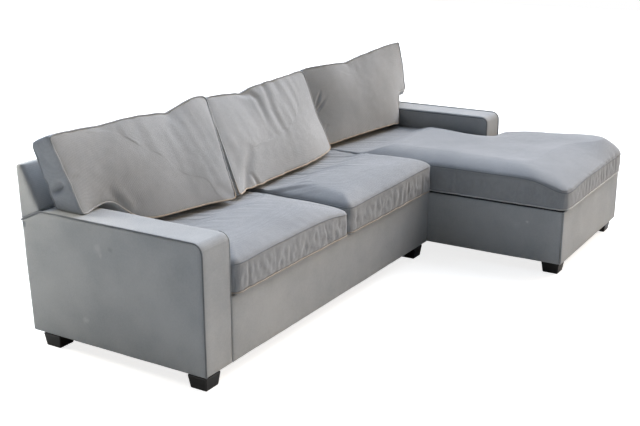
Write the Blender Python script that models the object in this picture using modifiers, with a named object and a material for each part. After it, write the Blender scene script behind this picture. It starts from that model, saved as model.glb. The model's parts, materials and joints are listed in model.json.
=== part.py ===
"""Sleeper sectional sofa: a two-seat sofa bed with a left arm, joined to a chaise with a right arm.

Places are written in the sofa's own frame, in metres: x from the left arm's outer face, y from the
front of the arms towards the back, z from the floor. The empty sofa_origin then puts the middle of
the footprint at the world's origin.
"""
import math

import bmesh
import bpy
from mathutils import Matrix, Vector

# Plan of the two modules
ARM_WIDTH = 0.178
SLEEPER_SPAN = 1.7855
MODULE_GAP = 0.003
CHAISE_WIDTH = 0.9585
SOFA_DEPTH = 0.938
CHAISE_REACH = 0.745
CHAISE_OVERHANG = 0.020

# Heights above the floor
BASE_Z = 0.059
SEAT_DECK_Z = 0.342
CHAISE_DECK_Z = 0.337
BACK_KNEE_Z = 0.500
SEAM_REAR_Z = 0.556
ARM_Z = 0.608
BACK_Z = 0.796

# Wedge of the back
BACK_LEAN = 0.023
BACK_LOW_DEPTH = 0.151
BACK_TOP_DEPTH = 0.035
BACK_EDGE_RADIUS = 0.014
ARM_CORNER_RADIUS = 0.040

# Upholstery, boards and clearances
FIT = 0.0003
COVER = 0.008
LINING = 0.0006
RAIL_DEPTH = 0.033
END_PANEL_WIDTH = 0.0285
BOARD = 0.022
TIMBER = 0.045
DECK_BOARD = 0.012
DUST_CLOTH = 0.0015
SLAT_WIDTH = 0.045
SLAT_HEIGHT = 0.060
SLAT_COUNT = 5
JOINT_LAP = 0.004
CUT_OVERRUN = 0.010

# Block feet
FOOT_SIZE = 0.095
FOOT_TAPER = 0.008
FOOT_EDGE = 0.004
FOOT_INSET = 0.001
FOOT_REAR_INSET = 0.058
FOOT_MIDDLE_INSET = 0.060
CHAISE_FOOT_INSET = 0.012
CHAISE_FOOT_RIGHT_INSET = 0.035

# Clips that hold the modules together
CLIP_PLATE = 0.003
CLIP_TONGUE = 0.030
CLIP_SIDE = 0.008
CLIP_REACH = 0.040
CLIP_GRIP = 0.026
CLIP_FRONT_Y = 0.200
CLIP_REAR_SETBACK = 0.167

# Loose cushions
CUSHION_GAP = 0.003
CUSHION_PROUD = 0.010
CUSHION_REAR_GAP = 0.012
SEAT_CROWN = 0.158
CHAISE_CROWN = 0.161
SEAT_BULGE = 0.016
SEAT_DROP = 0.024
BACK_CUSHION_LOW_DEPTH = 0.301
BACK_CUSHION_TOP_FRONT = 0.191
BACK_CUSHION_TOP_REAR = 0.058
BACK_FRONT_TOP_Z = 0.935
BACK_REAR_TOP_Z = 0.885
BACK_CUSHION_SWELL = 0.034
CHAISE_PILLOW_RISE = 0.034
CHAISE_STEP = 0.045
LEFT_PILLOW_START = 0.016
PILLOW_GAP = 0.010
PILLOW_END_MARGIN = 0.0135
PILLOW_REST_GAP = 0.00045
PILLOW_BOTTOM_SHIFT = 0.085
CHAISE_PILLOW_MARGIN = 0.015

# Tri-fold bed: three tube frames on two pairs of links
BED_SIDE_ROOM = 0.1185
FOLD_REAR_ROOM = 0.082
FOLD_FRONT_Y = 0.095
BED_UNDERSIDE_Z = 0.074
TUBE_RADIUS = 0.009
TUBE_CORNER = 0.040
FRAME_SETBACK = 0.022
CROSS_BAR_RADIUS = 0.004
CROSS_BAR_COUNT = 5
WEB_SHEET = 0.0015
MATTRESS_GAP = 0.003
MATTRESS_EDGE = 0.008
STACK_GAP = 0.001
PLATE = 0.0045
PLATE_GAP = 0.001
PLATE_LENGTH = 0.140
PLATE_HEIGHT = 0.014
PLATE_NECK = 0.024
BOSS_LENGTH = 0.030
HINGE_EYE = 0.010
STUD_RADIUS = 0.005
LEG_BAR = 0.012
LEG_GAP = 0.003
LEG_WIDTH = 0.018
LEG_INSET = 0.040
LEG_FLOOR_GAP = 0.003
LINK_LENGTH = 0.200
LINK_PLATE = 0.006
LINK_EYE = 0.014
LINK_STUD = 0.006
LINK_START_ANGLE = math.radians(-38.5)
LINK_SWING = math.radians(93)
LINK_FRONT_Y = 0.100
LINK_REAR_ROOM = 0.260
LINK_LANE_GAP = 0.010
CHANNEL_DEPTH = 0.028
CHANNEL_HEIGHT = 0.050
CHANNEL_WALL = 0.003
CHANNEL_START_Y = 0.062
CHANNEL_END_ROOM = 0.050
LIFT_BAR_RADIUS = 0.005
LIFT_BAR_WIDTH = 0.300
LIFT_BAR_REACH = 0.022
LIFT_BAR_RISE = 0.036

# Shares of the sizes that they follow
CUSHION_CUT_SHARES = (-0.86, -0.4, 0.0, 0.4, 0.86)
THICKNESS_CUT_SHARES = (-0.55, 0.55)
BACK_TURN_SHARE = 0.52
BACK_CUT_SHARES = (-0.86, -0.45, 2 * BACK_TURN_SHARE - 1, 0.5, 0.86)
CHAISE_FRONT_SHARES = (-0.93, -0.6, -0.25)
CHAISE_REAR_SHARES = (0.35, 0.65, 0.93)
CHAISE_TURN_SHARE = 0.9
REST_SWELL_SHARE = 0.5
PILLOW_SPLIT_SHARE = 0.5093
TURN_SHARE = 0.3
FACING_SHARE = 0.9

# Values worked out from the ones above
SLEEPER_WIDTH = ARM_WIDTH + SLEEPER_SPAN
CHAISE_X = SLEEPER_WIDTH + MODULE_GAP
TOTAL_WIDTH = CHAISE_X + CHAISE_WIDTH
CHAISE_ARM_X = TOTAL_WIDTH - ARM_WIDTH
END_PANEL_X = SLEEPER_WIDTH - END_PANEL_WIDTH
REAR_REACH = SOFA_DEPTH + BACK_LEAN
CENTRE_Y = (REAR_REACH - CHAISE_REACH - CHAISE_OVERHANG) / 2
KNEE_Y = SOFA_DEPTH - BACK_LOW_DEPTH
BACK_TOP_Y = REAR_REACH - BACK_TOP_DEPTH
CLIP_REAR_Y = KNEE_Y - CLIP_REAR_SETBACK
SEAT_CROWN_Z = SEAT_DECK_Z + SEAT_CROWN
BACK_FRONT_LOW_Y = KNEE_Y - BACK_CUSHION_LOW_DEPTH
BACK_FRONT_TOP_Y = BACK_TOP_Y - BACK_CUSHION_TOP_FRONT
BACK_REAR_TOP_Y = BACK_TOP_Y - BACK_CUSHION_TOP_REAR
LEFT_PILLOW_END = PILLOW_SPLIT_SHARE * SLEEPER_WIDTH
MIDDLE_PILLOW_START = LEFT_PILLOW_END + PILLOW_GAP
MIDDLE_PILLOW_END = SLEEPER_WIDTH - PILLOW_END_MARGIN
BED_WIDTH = END_PANEL_X - ARM_WIDTH - 2 * BED_SIDE_ROOM
SECTION_LENGTH = KNEE_Y - FOLD_FRONT_Y - FOLD_REAR_ROOM
LINK_SPACING = SECTION_LENGTH - LINK_REAR_ROOM
LINK_REAR_Y = LINK_FRONT_Y + LINK_SPACING
CHANNEL_END_Y = LINK_REAR_Y + CHANNEL_END_ROOM
BED_CENTRE_X = (ARM_WIDTH + END_PANEL_X) / 2
CAVITY_HALF = (END_PANEL_X - ARM_WIDTH) / 2
TUBE_X = BED_WIDTH / 2 + TUBE_RADIUS + MATTRESS_GAP
INNER_LANE = TUBE_X + TUBE_RADIUS + PLATE_GAP
OUTER_LANE = INNER_LANE + PLATE + PLATE_GAP
BODY_LEG_LANE = OUTER_LANE + PLATE + LEG_GAP
FOOT_LEG_LANE = BODY_LEG_LANE + LEG_BAR + LEG_GAP
LINK_LANE = FOOT_LEG_LANE + LEG_BAR + LINK_LANE_GAP
CHANNEL_OUTER = CAVITY_HALF - FIT
CHANNEL_INNER = CHANNEL_OUTER - CHANNEL_DEPTH
HEAD_Z = BED_UNDERSIDE_Z + TUBE_RADIUS
MATTRESS_LIFT = TUBE_RADIUS + FIT
STACK_PITCH = 2 * TUBE_RADIUS + STACK_GAP
MATTRESS = (SEAT_DECK_Z - FIT - HEAD_Z - 3 * MATTRESS_LIFT - MATTRESS_GAP - STACK_PITCH) / 3
FOLD_HALF = MATTRESS_LIFT + MATTRESS + MATTRESS_GAP / 2
BODY_Z = HEAD_Z + 2 * FOLD_HALF
FOOT_Z = BODY_Z + STACK_PITCH
FRONT_PIVOT = (FOLD_FRONT_Y, HEAD_Z + FOLD_HALF)
REAR_PIVOT = (FOLD_FRONT_Y + SECTION_LENGTH, BODY_Z + STACK_PITCH / 2)
LINK_ANCHOR_Z = HEAD_Z - LINK_LENGTH * math.sin(LINK_START_ANGLE)
LINK_RUN = LINK_LENGTH * math.cos(LINK_START_ANGLE)
OPEN_RISE = LINK_LENGTH * (math.sin(LINK_START_ANGLE + LINK_SWING) - math.sin(LINK_START_ANGLE))
LEG_LENGTH = HEAD_Z + OPEN_RISE - LEG_FLOOR_GAP

# Counts
ROUND_STEPS = 5
CORNER_STEPS = 3
CIRCLE_SIDES = 12
CROSS_BAR_SIDES = 8
ARM_WINDOWS = (3, 2)
BACK_WINDOWS = (6, 3)
CHAISE_BACK_WINDOWS = (3, 3)

# Turns that lay a flat outline across an axis
ACROSS = {
    "X": Matrix(((0, 0, 1), (1, 0, 0), (0, 1, 0))).to_4x4(),
    "Y": Matrix(((1, 0, 0), (0, 0, -1), (0, 1, 0))).to_4x4(),
    "Z": Matrix.Identity(4),
}


def clear_scene():
    for thing in list(bpy.data.objects):
        bpy.data.objects.remove(thing, do_unlink=True)


def new_collection(name):
    collection = bpy.data.collections.new(name)
    bpy.context.scene.collection.children.link(collection)
    return collection


def finish(name, colour, roughness, metallic=0.0):
    material = bpy.data.materials.new(name)
    material.use_nodes = True
    shader = material.node_tree.nodes["Principled BSDF"]
    shader.inputs["Base Color"].default_value = (*colour, 1.0)
    shader.inputs["Roughness"].default_value = roughness
    shader.inputs["Metallic"].default_value = metallic
    return material


clear_scene()
SOFA = new_collection("sleeper_sectional_sofa")
SHAPING = new_collection("shaping_pieces")
FABRIC = finish("upholstery_fabric", (0.36, 0.38, 0.41), 0.9)
WOOD = finish("frame_timber", (0.62, 0.47, 0.30), 0.7)
BLACK_WOOD = finish("black_foot_wood", (0.012, 0.012, 0.013), 0.45)
STEEL = finish("painted_steel", (0.10, 0.10, 0.11), 0.45, 0.6)
ZINC = finish("zinc_steel", (0.55, 0.56, 0.57), 0.35, 1.0)
TICKING = finish("mattress_ticking", (0.80, 0.78, 0.72), 0.9)
WEBBING = finish("deck_webbing", (0.16, 0.16, 0.17), 0.85)
DUST = finish("dust_cloth", (0.03, 0.03, 0.03), 0.95)

ORIGIN = bpy.data.objects.new("sofa_origin", None)
ORIGIN.location = (-TOTAL_WIDTH / 2, -CENTRE_Y, 0)
SHAPING.objects.link(ORIGIN)


def add_mesh(name, mesh, material):
    """A node made from a mesh whose places are in the sofa's frame"""
    mesh.name = name
    mesh.materials.clear()
    mesh.materials.append(material)
    node = bpy.data.objects.new(name, mesh)
    node.parent = ORIGIN
    SOFA.objects.link(node)
    return node


def mesh_from(shape):
    mesh = bpy.data.meshes.new("shape")
    shape.to_mesh(mesh)
    shape.free()
    return mesh


def mesh_from_curve(curve):
    """A curve's evaluated surface as a mesh with its caps welded on"""
    drawn = bpy.data.objects.new("drawn_curve", curve)
    SHAPING.objects.link(drawn)
    bpy.context.view_layer.update()
    evaluated = drawn.evaluated_get(bpy.context.evaluated_depsgraph_get())
    mesh = bpy.data.meshes.new_from_object(evaluated)
    bpy.data.objects.remove(drawn, do_unlink=True)
    shape = bmesh.new()
    shape.from_mesh(mesh)
    bmesh.ops.remove_doubles(shape, verts=shape.verts, dist=FIT / 10)
    bmesh.ops.recalc_face_normals(shape, faces=shape.faces)
    shape.to_mesh(mesh)
    shape.free()
    return mesh


def prism(name, outline, low, high, material, across="X", holes=()):
    """A flat outline, with any holes, made solid from low to high along one axis"""
    curve = bpy.data.curves.new(name, "CURVE")
    curve.dimensions = "2D"
    curve.fill_mode = "BOTH"
    curve.extrude = (high - low) / 2
    for points in (outline, *holes):
        spline = curve.splines.new("POLY")
        spline.points.add(len(points) - 1)
        for point, (first, second) in zip(spline.points, points):
            point.co = (first, second, 0, 1)
        spline.use_cyclic_u = True
    mesh = mesh_from_curve(curve)
    middle = (high + low) / 2
    if across == "Y":
        middle = -middle
    mesh.transform(ACROSS[across] @ Matrix.Translation((0, 0, middle)))
    return add_mesh(name, mesh, material)


def box(name, low, high, material, edge=0.0):
    """A rectangular block, with rounded edges where edge is given"""
    shape = bmesh.new()
    bmesh.ops.create_cube(shape, size=1)
    size = Vector(high) - Vector(low)
    bmesh.ops.scale(shape, vec=size, verts=shape.verts)
    bmesh.ops.translate(shape, vec=Vector(low) + size / 2, verts=shape.verts)
    node = add_mesh(name, mesh_from(shape), material)
    if edge:
        round_edges(node, edge)
    return node


def round_edges(node, width):
    bevel = node.modifiers.new("round_edges", "BEVEL")
    bevel.width = width
    bevel.segments = 2
    bevel.limit_method = "ANGLE"


def rod_x(name, centre, radius, low, high, material):
    """A round stud along x at a place (y, z)"""
    shape = bmesh.new()
    turn = Matrix.Rotation(math.radians(90), 4, "Y")
    place = Matrix.Translation(((low + high) / 2, *centre))
    bmesh.ops.create_cone(shape, cap_ends=True, segments=CIRCLE_SIDES, radius1=radius,
                          radius2=radius, depth=abs(high - low), matrix=place @ turn)
    return add_mesh(name, mesh_from(shape), material)


def use_tool(node, tool, operation):
    """Join, cut or trim a node with a shaping piece, which then stays out of the model"""
    SOFA.objects.unlink(tool)
    SHAPING.objects.link(tool)
    tool.name = f"{node.name}_tool"
    tool.hide_render = True
    tool.display_type = "WIRE"
    boolean = node.modifiers.new("shape", "BOOLEAN")
    boolean.operation = operation
    boolean.solver = "EXACT"
    boolean.object = tool


def join(node, *tools):
    for tool in tools:
        use_tool(node, tool, "UNION")


def cut(node, *tools):
    for tool in tools:
        use_tool(node, tool, "DIFFERENCE")


def open_shell(node, direction):
    """Turn a closed node into a cover of even thickness that is open on one side"""
    shape = bmesh.new()
    shape.from_mesh(node.data)
    away = Vector(direction)
    doomed = [face for face in shape.faces if face.normal.dot(away) > FACING_SHARE]
    bmesh.ops.delete(shape, geom=doomed, context="FACES")
    shape.to_mesh(node.data)
    shape.free()
    wall = node.modifiers.new("cover_thickness", "SOLIDIFY")
    wall.thickness = COVER
    wall.offset = -1
    wall.use_even_offset = True
    wall.use_quality_normals = True
    return node


def hang_on_axis(node, point):
    """Put a node's own origin on its joint's axis without moving the node"""
    node.data.transform(Matrix.Translation(-Vector(point)))
    node.location = point


def arc(centre, radius, start, end, steps=ROUND_STEPS):
    """Points on a circle between two angles in degrees"""
    points = []
    for step in range(steps + 1):
        angle = math.radians(start + (end - start) * step / steps)
        points.append((centre[0] + radius * math.cos(angle), centre[1] + radius * math.sin(angle)))
    return points


def circle(centre, radius):
    """Points all round a circle"""
    return arc(centre, radius, 0, 360 - 360 / CIRCLE_SIDES, CIRCLE_SIDES - 1)


def capsule(first, second, first_radius, second_radius):
    """The outline round two circles"""
    angle = math.degrees(math.atan2(second[1] - first[1], second[0] - first[0]))
    return (arc(second, second_radius, angle - 90, angle + 90)
            + arc(first, first_radius, angle + 90, angle + 270))


def inset(outline, distance):
    """An outline moved inwards by an even distance; it runs anticlockwise or clockwise"""
    count = len(outline)
    area = sum(outline[i][0] * outline[(i + 1) % count][1]
               - outline[(i + 1) % count][0] * outline[i][1] for i in range(count))
    side = 1 if area > 0 else -1
    moved = []
    for i in range(count):
        before, here, after = (Vector(outline[k % count]) for k in (i - 1, i, i + 1))
        first = (here - before).normalized()
        second = (after - here).normalized()
        normal = (Vector((-first.y, first.x)) + Vector((-second.y, second.x))).normalized()
        reach = distance / max(normal.dot(Vector((-first.y, first.x))), TURN_SHARE)
        moved.append(tuple(here + side * normal * reach))
    return moved


def open_below(outline, floor):
    """An outline whose lowest points are drawn down to a floor"""
    return [(y, floor if z < BASE_Z + TIMBER else z) for y, z in outline]


def windows(low, high, counts, rail):
    """Rectangular holes in rows and columns with a rail round each"""
    holes = []
    steps = [(high[i] - low[i] - rail) / counts[i] for i in (0, 1)]
    for column in range(counts[0]):
        for row in range(counts[1]):
            left = low[0] + rail + column * steps[0]
            bottom = low[1] + rail + row * steps[1]
            right = left + steps[0] - rail
            top = bottom + steps[1] - rail
            holes.append([(left, bottom), (right, bottom), (right, top), (left, top)])
    return holes


def rear_y(z):
    """The leaning rear face of both modules"""
    return SOFA_DEPTH + BACK_LEAN * (z - BASE_Z) / (BACK_Z - BACK_EDGE_RADIUS - BASE_Z)


def back_front_y(z):
    """The raked front face of the back above its knee"""
    return KNEE_Y + (BACK_TOP_Y - KNEE_Y) * (z - BACK_KNEE_Z) / (BACK_Z - BACK_KNEE_Z)


def arm_outline():
    corner = (ARM_CORNER_RADIUS, ARM_Z - ARM_CORNER_RADIUS)
    return [(SOFA_DEPTH, BASE_Z), (rear_y(SEAM_REAR_Z), SEAM_REAR_Z), (back_front_y(ARM_Z), ARM_Z),
            *arc(corner, ARM_CORNER_RADIUS, 90, 180), (0, BASE_Z)]


def back_crest():
    """The rounded top of the back from its front face to its rear face"""
    radius = BACK_EDGE_RADIUS
    rake = math.atan2(BACK_TOP_Y - KNEE_Y, BACK_Z - BACK_KNEE_Z)
    start_z = BACK_Z - radius + radius * math.sin(rake)
    rear = (REAR_REACH - radius, BACK_Z - radius)
    front = (back_front_y(start_z) + radius * math.cos(rake), BACK_Z - radius)
    return arc(front, radius, 180 - math.degrees(rake), 90) + arc(rear, radius, 90, 0)


def back_outline():
    return [(KNEE_Y, BASE_Z), (KNEE_Y, BACK_KNEE_Z), *back_crest(), (SOFA_DEPTH, BASE_Z)]


def arm_room():
    """The space that the arm takes below the back's wing, drawn past the back on three sides"""
    over = CUT_OVERRUN
    front = (back_front_y(ARM_Z), ARM_Z + FIT)
    rear = (rear_y(SEAM_REAR_Z), SEAM_REAR_Z + FIT)
    slope = (rear[1] - front[1]) / (rear[0] - front[0])
    return [(KNEE_Y - over, BASE_Z - over), (REAR_REACH + over, BASE_Z - over),
            (REAR_REACH + over, rear[1] + slope * (REAR_REACH + over - rear[0])), front,
            (KNEE_Y - over, ARM_Z + FIT)]


def make_arm(side, left):
    """One arm: a wrapped cover over a timber frame"""
    right = left + ARM_WIDTH
    cover = prism(f"{side}_arm_cover", arm_outline(), left, right, FABRIC)
    cut(cover, prism("hollow", open_below(inset(arm_outline(), COVER), BASE_Z - CUT_OVERRUN),
                     left + COVER, right - COVER, FABRIC))
    gap = COVER + LINING
    inner = open_below(inset(arm_outline(), gap), BASE_Z)
    holes = windows((gap, BASE_Z), (back_front_y(ARM_Z) - gap, ARM_Z - gap), ARM_WINDOWS, TIMBER)
    prism(f"{side}_arm_frame", inner, left + gap, right - gap, WOOD, holes=holes)


def make_back(module, low, high, wing_low, wing_high, counts):
    """One back: a cover with a wing over the arm, round a windowed timber frame"""
    cover = prism(f"{module}_back_cover", back_outline(), wing_low, wing_high, FABRIC)
    room = (wing_low - CUT_OVERRUN, low) if wing_low < low else (high, wing_high + CUT_OVERRUN)
    cut(cover, prism("arm_room", arm_room(), *room, FABRIC))
    below = BASE_Z - CUT_OVERRUN
    cut(cover, prism("hollow", open_below(inset(back_outline(), COVER), below),
                     low + COVER, high - COVER, FABRIC))
    gap = COVER + LINING
    ends = (low + gap, high - gap)
    top = BACK_Z - gap
    above = BACK_Z + CUT_OVERRUN
    outline = [(ends[0], BASE_Z), (ends[1], BASE_Z), (ends[1], above), (ends[0], above)]
    holes = windows((ends[0], BASE_Z), (ends[1], top), counts, TIMBER)
    frame = prism(f"{module}_back_frame", outline, KNEE_Y, REAR_REACH, WOOD, "Y", holes)
    inner = open_below(inset(back_outline(), gap), below)
    use_tool(frame, prism("profile", inner, low, high, WOOD), "INTERSECT")


def make_front_rail():
    low = ARM_WIDTH + FIT
    cover = box("front_rail_cover", (low, 0, BASE_Z), (SLEEPER_WIDTH, RAIL_DEPTH, SEAT_DECK_Z), FABRIC)
    open_shell(cover, (0, 1, 0))
    gap = COVER + FIT
    box("front_rail_board", (low + gap, gap, BASE_Z + gap),
        (SLEEPER_WIDTH - gap, RAIL_DEPTH, SEAT_DECK_Z - gap), WOOD)


def make_end_panel():
    box("sleeper_end_panel", (END_PANEL_X, RAIL_DEPTH + FIT, BASE_Z),
        (SLEEPER_WIDTH, KNEE_Y - FIT, SEAT_DECK_Z), FABRIC)


def chaise_plan(gap):
    """The chaise base in plan, moved inwards by a gap; the arm stands beside its rear part"""
    inner = max(gap - COVER - FIT, 0)
    left = CHAISE_X + gap
    right = TOTAL_WIDTH - gap
    beside_arm = CHAISE_ARM_X - FIT - inner
    front = -CHAISE_REACH + gap
    step = -FIT - max(gap - COVER, 0)
    rear = KNEE_Y - FIT - inner
    return [(left, front), (right, front), (right, step), (beside_arm, step), (beside_arm, rear),
            (left, rear)]


def make_chaise_base():
    """Upholstered panels on a ring of boards with slats, a deck on top and a dust cloth below"""
    gap = COVER + FIT
    box("chaise_front_cover", (CHAISE_X, -CHAISE_REACH, BASE_Z),
        (TOTAL_WIDTH, -CHAISE_REACH + COVER, CHAISE_DECK_Z), FABRIC)
    side_front = -CHAISE_REACH + gap
    box("chaise_left_cover", (CHAISE_X, side_front, BASE_Z),
        (CHAISE_X + COVER, KNEE_Y - FIT, CHAISE_DECK_Z), FABRIC)
    box("chaise_right_cover", (TOTAL_WIDTH - COVER, side_front, BASE_Z),
        (TOTAL_WIDTH, -FIT, CHAISE_DECK_Z), FABRIC)
    frame_top = CHAISE_DECK_Z - DECK_BOARD - FIT
    frame = prism("chaise_frame", chaise_plan(gap), BASE_Z, frame_top, WOOD, "Z",
                  [chaise_plan(gap + BOARD)])
    first = -CHAISE_REACH + gap + BOARD
    pitch = (KNEE_Y - FIT - BOARD - first) / (SLAT_COUNT + 1)
    for number in range(1, SLAT_COUNT + 1):
        middle = first + number * pitch
        beside_arm = middle + SLAT_WIDTH > -FIT - BOARD
        end = (CHAISE_ARM_X - FIT if beside_arm else TOTAL_WIDTH - gap) - BOARD + JOINT_LAP
        join(frame, box("slat", (CHAISE_X + gap + BOARD - JOINT_LAP, middle, frame_top - SLAT_HEIGHT),
                        (end, middle + SLAT_WIDTH, frame_top - JOINT_LAP), WOOD))
    prism("chaise_deck", chaise_plan(gap), CHAISE_DECK_Z - DECK_BOARD, CHAISE_DECK_Z, WEBBING, "Z")
    prism("chaise_dust_cover", chaise_plan(gap + BOARD + FIT), BASE_Z + FIT,
          BASE_Z + FIT + DUST_CLOTH, DUST, "Z")


def make_foot(name, x, y):
    """A square block that narrows towards the floor, by its low corner"""
    shape = bmesh.new()
    bmesh.ops.create_cube(shape, size=1)
    bmesh.ops.scale(shape, vec=(FOOT_SIZE, FOOT_SIZE, BASE_Z - FIT), verts=shape.verts)
    narrow = 1 - 2 * FOOT_TAPER / FOOT_SIZE
    low = [vertex for vertex in shape.verts if vertex.co.z < 0]
    bmesh.ops.scale(shape, vec=(narrow, narrow, 1), verts=low)
    centre = (x + FOOT_SIZE / 2, y + FOOT_SIZE / 2, (BASE_Z - FIT) / 2)
    bmesh.ops.translate(shape, vec=centre, verts=shape.verts)
    round_edges(add_mesh(name, mesh_from(shape), BLACK_WOOD), FOOT_EDGE)


def make_feet():
    rear = SOFA_DEPTH - FOOT_REAR_INSET - FOOT_SIZE
    sleeper_right = SLEEPER_WIDTH - FOOT_MIDDLE_INSET - FOOT_SIZE
    chaise_left = CHAISE_X + CHAISE_FOOT_INSET
    chaise_right = TOTAL_WIDTH - CHAISE_FOOT_RIGHT_INSET - FOOT_SIZE
    chaise_front = -CHAISE_REACH + CHAISE_FOOT_INSET
    make_foot("sleeper_foot_front_left", FOOT_INSET, FOOT_INSET)
    make_foot("sleeper_foot_rear_left", FOOT_INSET, rear)
    make_foot("sleeper_foot_front_right", sleeper_right, FOOT_INSET)
    make_foot("sleeper_foot_rear_right", sleeper_right, rear)
    make_foot("chaise_foot_front_left", chaise_left, chaise_front)
    make_foot("chaise_foot_rear_left", chaise_left, rear)
    make_foot("chaise_foot_front_right", chaise_right, chaise_front)
    make_foot("chaise_foot_rear_right", chaise_right, rear)


def make_clip(place, y):
    """A tongue under the sleeper that slides into a keeper under the chaise"""
    top = BASE_Z - FIT
    tongue_low = top - CLIP_PLATE
    box(f"{place}_clip_tongue", (SLEEPER_WIDTH - CLIP_GRIP, y - CLIP_TONGUE / 2, tongue_low),
        (CHAISE_X + CLIP_REACH, y + CLIP_TONGUE / 2, top), ZINC)
    slot = CLIP_TONGUE / 2 + FIT
    side = slot + CLIP_SIDE
    floor = tongue_low - FIT
    outline = [(y - side, floor - CLIP_PLATE), (y + side, floor - CLIP_PLATE), (y + side, top),
               (y + slot, top), (y + slot, floor), (y - slot, floor), (y - slot, top), (y - side, top)]
    prism(f"{place}_clip_keeper", outline, CHAISE_X + CUSHION_GAP, CHAISE_X + CLIP_REACH + CLIP_SIDE,
          ZINC)


def soft_cage(cuts):
    """A cube from -1 to 1, cut into a cage at shares of its half size along x, y and z"""
    shape = bmesh.new()
    bmesh.ops.create_cube(shape, size=2)
    for axis, shares in enumerate(cuts):
        normal = [0, 0, 0]
        normal[axis] = 1
        for share in shares:
            point = [0, 0, 0]
            point[axis] = share
            everything = [*shape.verts, *shape.edges, *shape.faces]
            bmesh.ops.bisect_plane(shape, geom=everything, dist=FIT, plane_co=point, plane_no=normal)
    return shape


def smooth_shape(shape):
    """A cage's mesh after one round of subdivision"""
    cage = bpy.data.objects.new("cage", mesh_from(shape))
    SHAPING.objects.link(cage)
    rounding = cage.modifiers.new("soften", "SUBSURF")
    rounding.levels = 1
    rounding.render_levels = 1
    bpy.context.view_layer.update()
    evaluated = cage.evaluated_get(bpy.context.evaluated_depsgraph_get())
    mesh = bpy.data.meshes.new_from_object(evaluated)
    bpy.data.objects.remove(cage, do_unlink=True)
    return mesh


def fill_box(mesh, low, high):
    """Stretch a mesh so that it just fills a box"""
    for axis in range(3):
        places = [vertex.co[axis] for vertex in mesh.vertices]
        start, end = min(places), max(places)
        stretch = (high[axis] - low[axis]) / (end - start)
        for vertex in mesh.vertices:
            vertex.co[axis] = low[axis] + (vertex.co[axis] - start) * stretch


def crown(u, v):
    """How full a cushion is at a place in plan, from 0 at its edge to 1 in its middle"""
    return (1 - u ** 4) * (1 - v ** 4)


def seat_cushion(name, low, high):
    """A crowned seat cushion whose sides swell between drawn-in corners"""
    shape = soft_cage((CUSHION_CUT_SHARES, CUSHION_CUT_SHARES, THICKNESS_CUT_SHARES))
    half = (Vector(high) - Vector(low)) / 2
    middle = (Vector(high) + Vector(low)) / 2
    for vertex in shape.verts:
        u, v, w = vertex.co
        x = half.x * u - SEAT_BULGE * u * (1 - (1 - v * v) * (1 - w * w))
        y = half.y * v - SEAT_BULGE * v * (1 - (1 - u * u) * (1 - w * w))
        drop = SEAT_DROP * (1 - crown(u, v)) if w > 0 else 0
        vertex.co = middle + Vector((x, y, half.z * w - drop))
    mesh = smooth_shape(shape)
    fill_box(mesh, low, high)
    return add_mesh(name, mesh, FABRIC)


def make_seat_cushions():
    left = ARM_WIDTH + CUSHION_GAP
    right = SLEEPER_WIDTH - CUSHION_GAP
    middle = (left + right) / 2
    front = -CUSHION_PROUD
    rear = KNEE_Y - CUSHION_REAR_GAP
    low_z = SEAT_DECK_Z + FIT
    high_z = SEAT_CROWN_Z
    seat_cushion("seat_cushion_left", (left, front, low_z), (middle - CUSHION_GAP / 2, rear, high_z))
    seat_cushion("seat_cushion_right", (middle + CUSHION_GAP / 2, front, low_z), (right, rear, high_z))


def make_chaise_cushion():
    """The long cushion, which widens in front of the right arm"""
    left = CHAISE_X + CUSHION_GAP / 2
    inner_right = CHAISE_ARM_X - CUSHION_GAP
    outer_right = TOTAL_WIDTH - CUSHION_GAP
    front = -CHAISE_REACH - CHAISE_OVERHANG
    rear = KNEE_Y - CUSHION_REAR_GAP
    step_y = -CHAISE_STEP
    low_z = CHAISE_DECK_Z + FIT
    high_z = CHAISE_DECK_Z + CHAISE_CROWN
    middle_y = (front + rear) / 2
    half_y = (rear - front) / 2
    step_share = (step_y - middle_y) / half_y
    rounding = CHAISE_STEP / half_y
    lengthwise = (*CHAISE_FRONT_SHARES, step_share - rounding, step_share,
                  step_share + CHAISE_TURN_SHARE * rounding, *CHAISE_REAR_SHARES)
    shape = soft_cage((CUSHION_CUT_SHARES, lengthwise, THICKNESS_CUT_SHARES))
    sides = [face for face in shape.faces
             if face.normal.x > FACING_SHARE and face.calc_center_median().y < step_share]
    grown = bmesh.ops.extrude_face_region(shape, geom=sides)
    out = [item for item in grown["geom"] if isinstance(item, bmesh.types.BMVert)]
    bmesh.ops.delete(shape, geom=sides, context="FACES")
    for vertex in out:
        vertex.co.x += 1
    bmesh.ops.recalc_face_normals(shape, faces=shape.faces)
    base_half_x = (inner_right - left) / 2
    narrow = (inner_right - left) / (outer_right - left)
    for vertex in shape.verts:
        u, v, w = vertex.co
        wide = v < step_share + FIT
        x = left + base_half_x * (min(u, 1) + 1) + max(u - 1, 0) * (outer_right - inner_right)
        across = (min(u, 1) + 1) / 2 * (narrow if wide else 1) + max(u - 1, 0) * (1 - narrow)
        fullness = crown(2 * across - 1, v)
        drop = SEAT_DROP * (1 - fullness) if w > 0 else 0
        z = (low_z + high_z) / 2 + (high_z - low_z) / 2 * w - drop
        vertex.co = (x, middle_y + half_y * v, z)
    mesh = smooth_shape(shape)
    fill_box(mesh, (left, front, low_z), (outer_right, rear, high_z))
    add_mesh("chaise_cushion", mesh, FABRIC)


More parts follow.
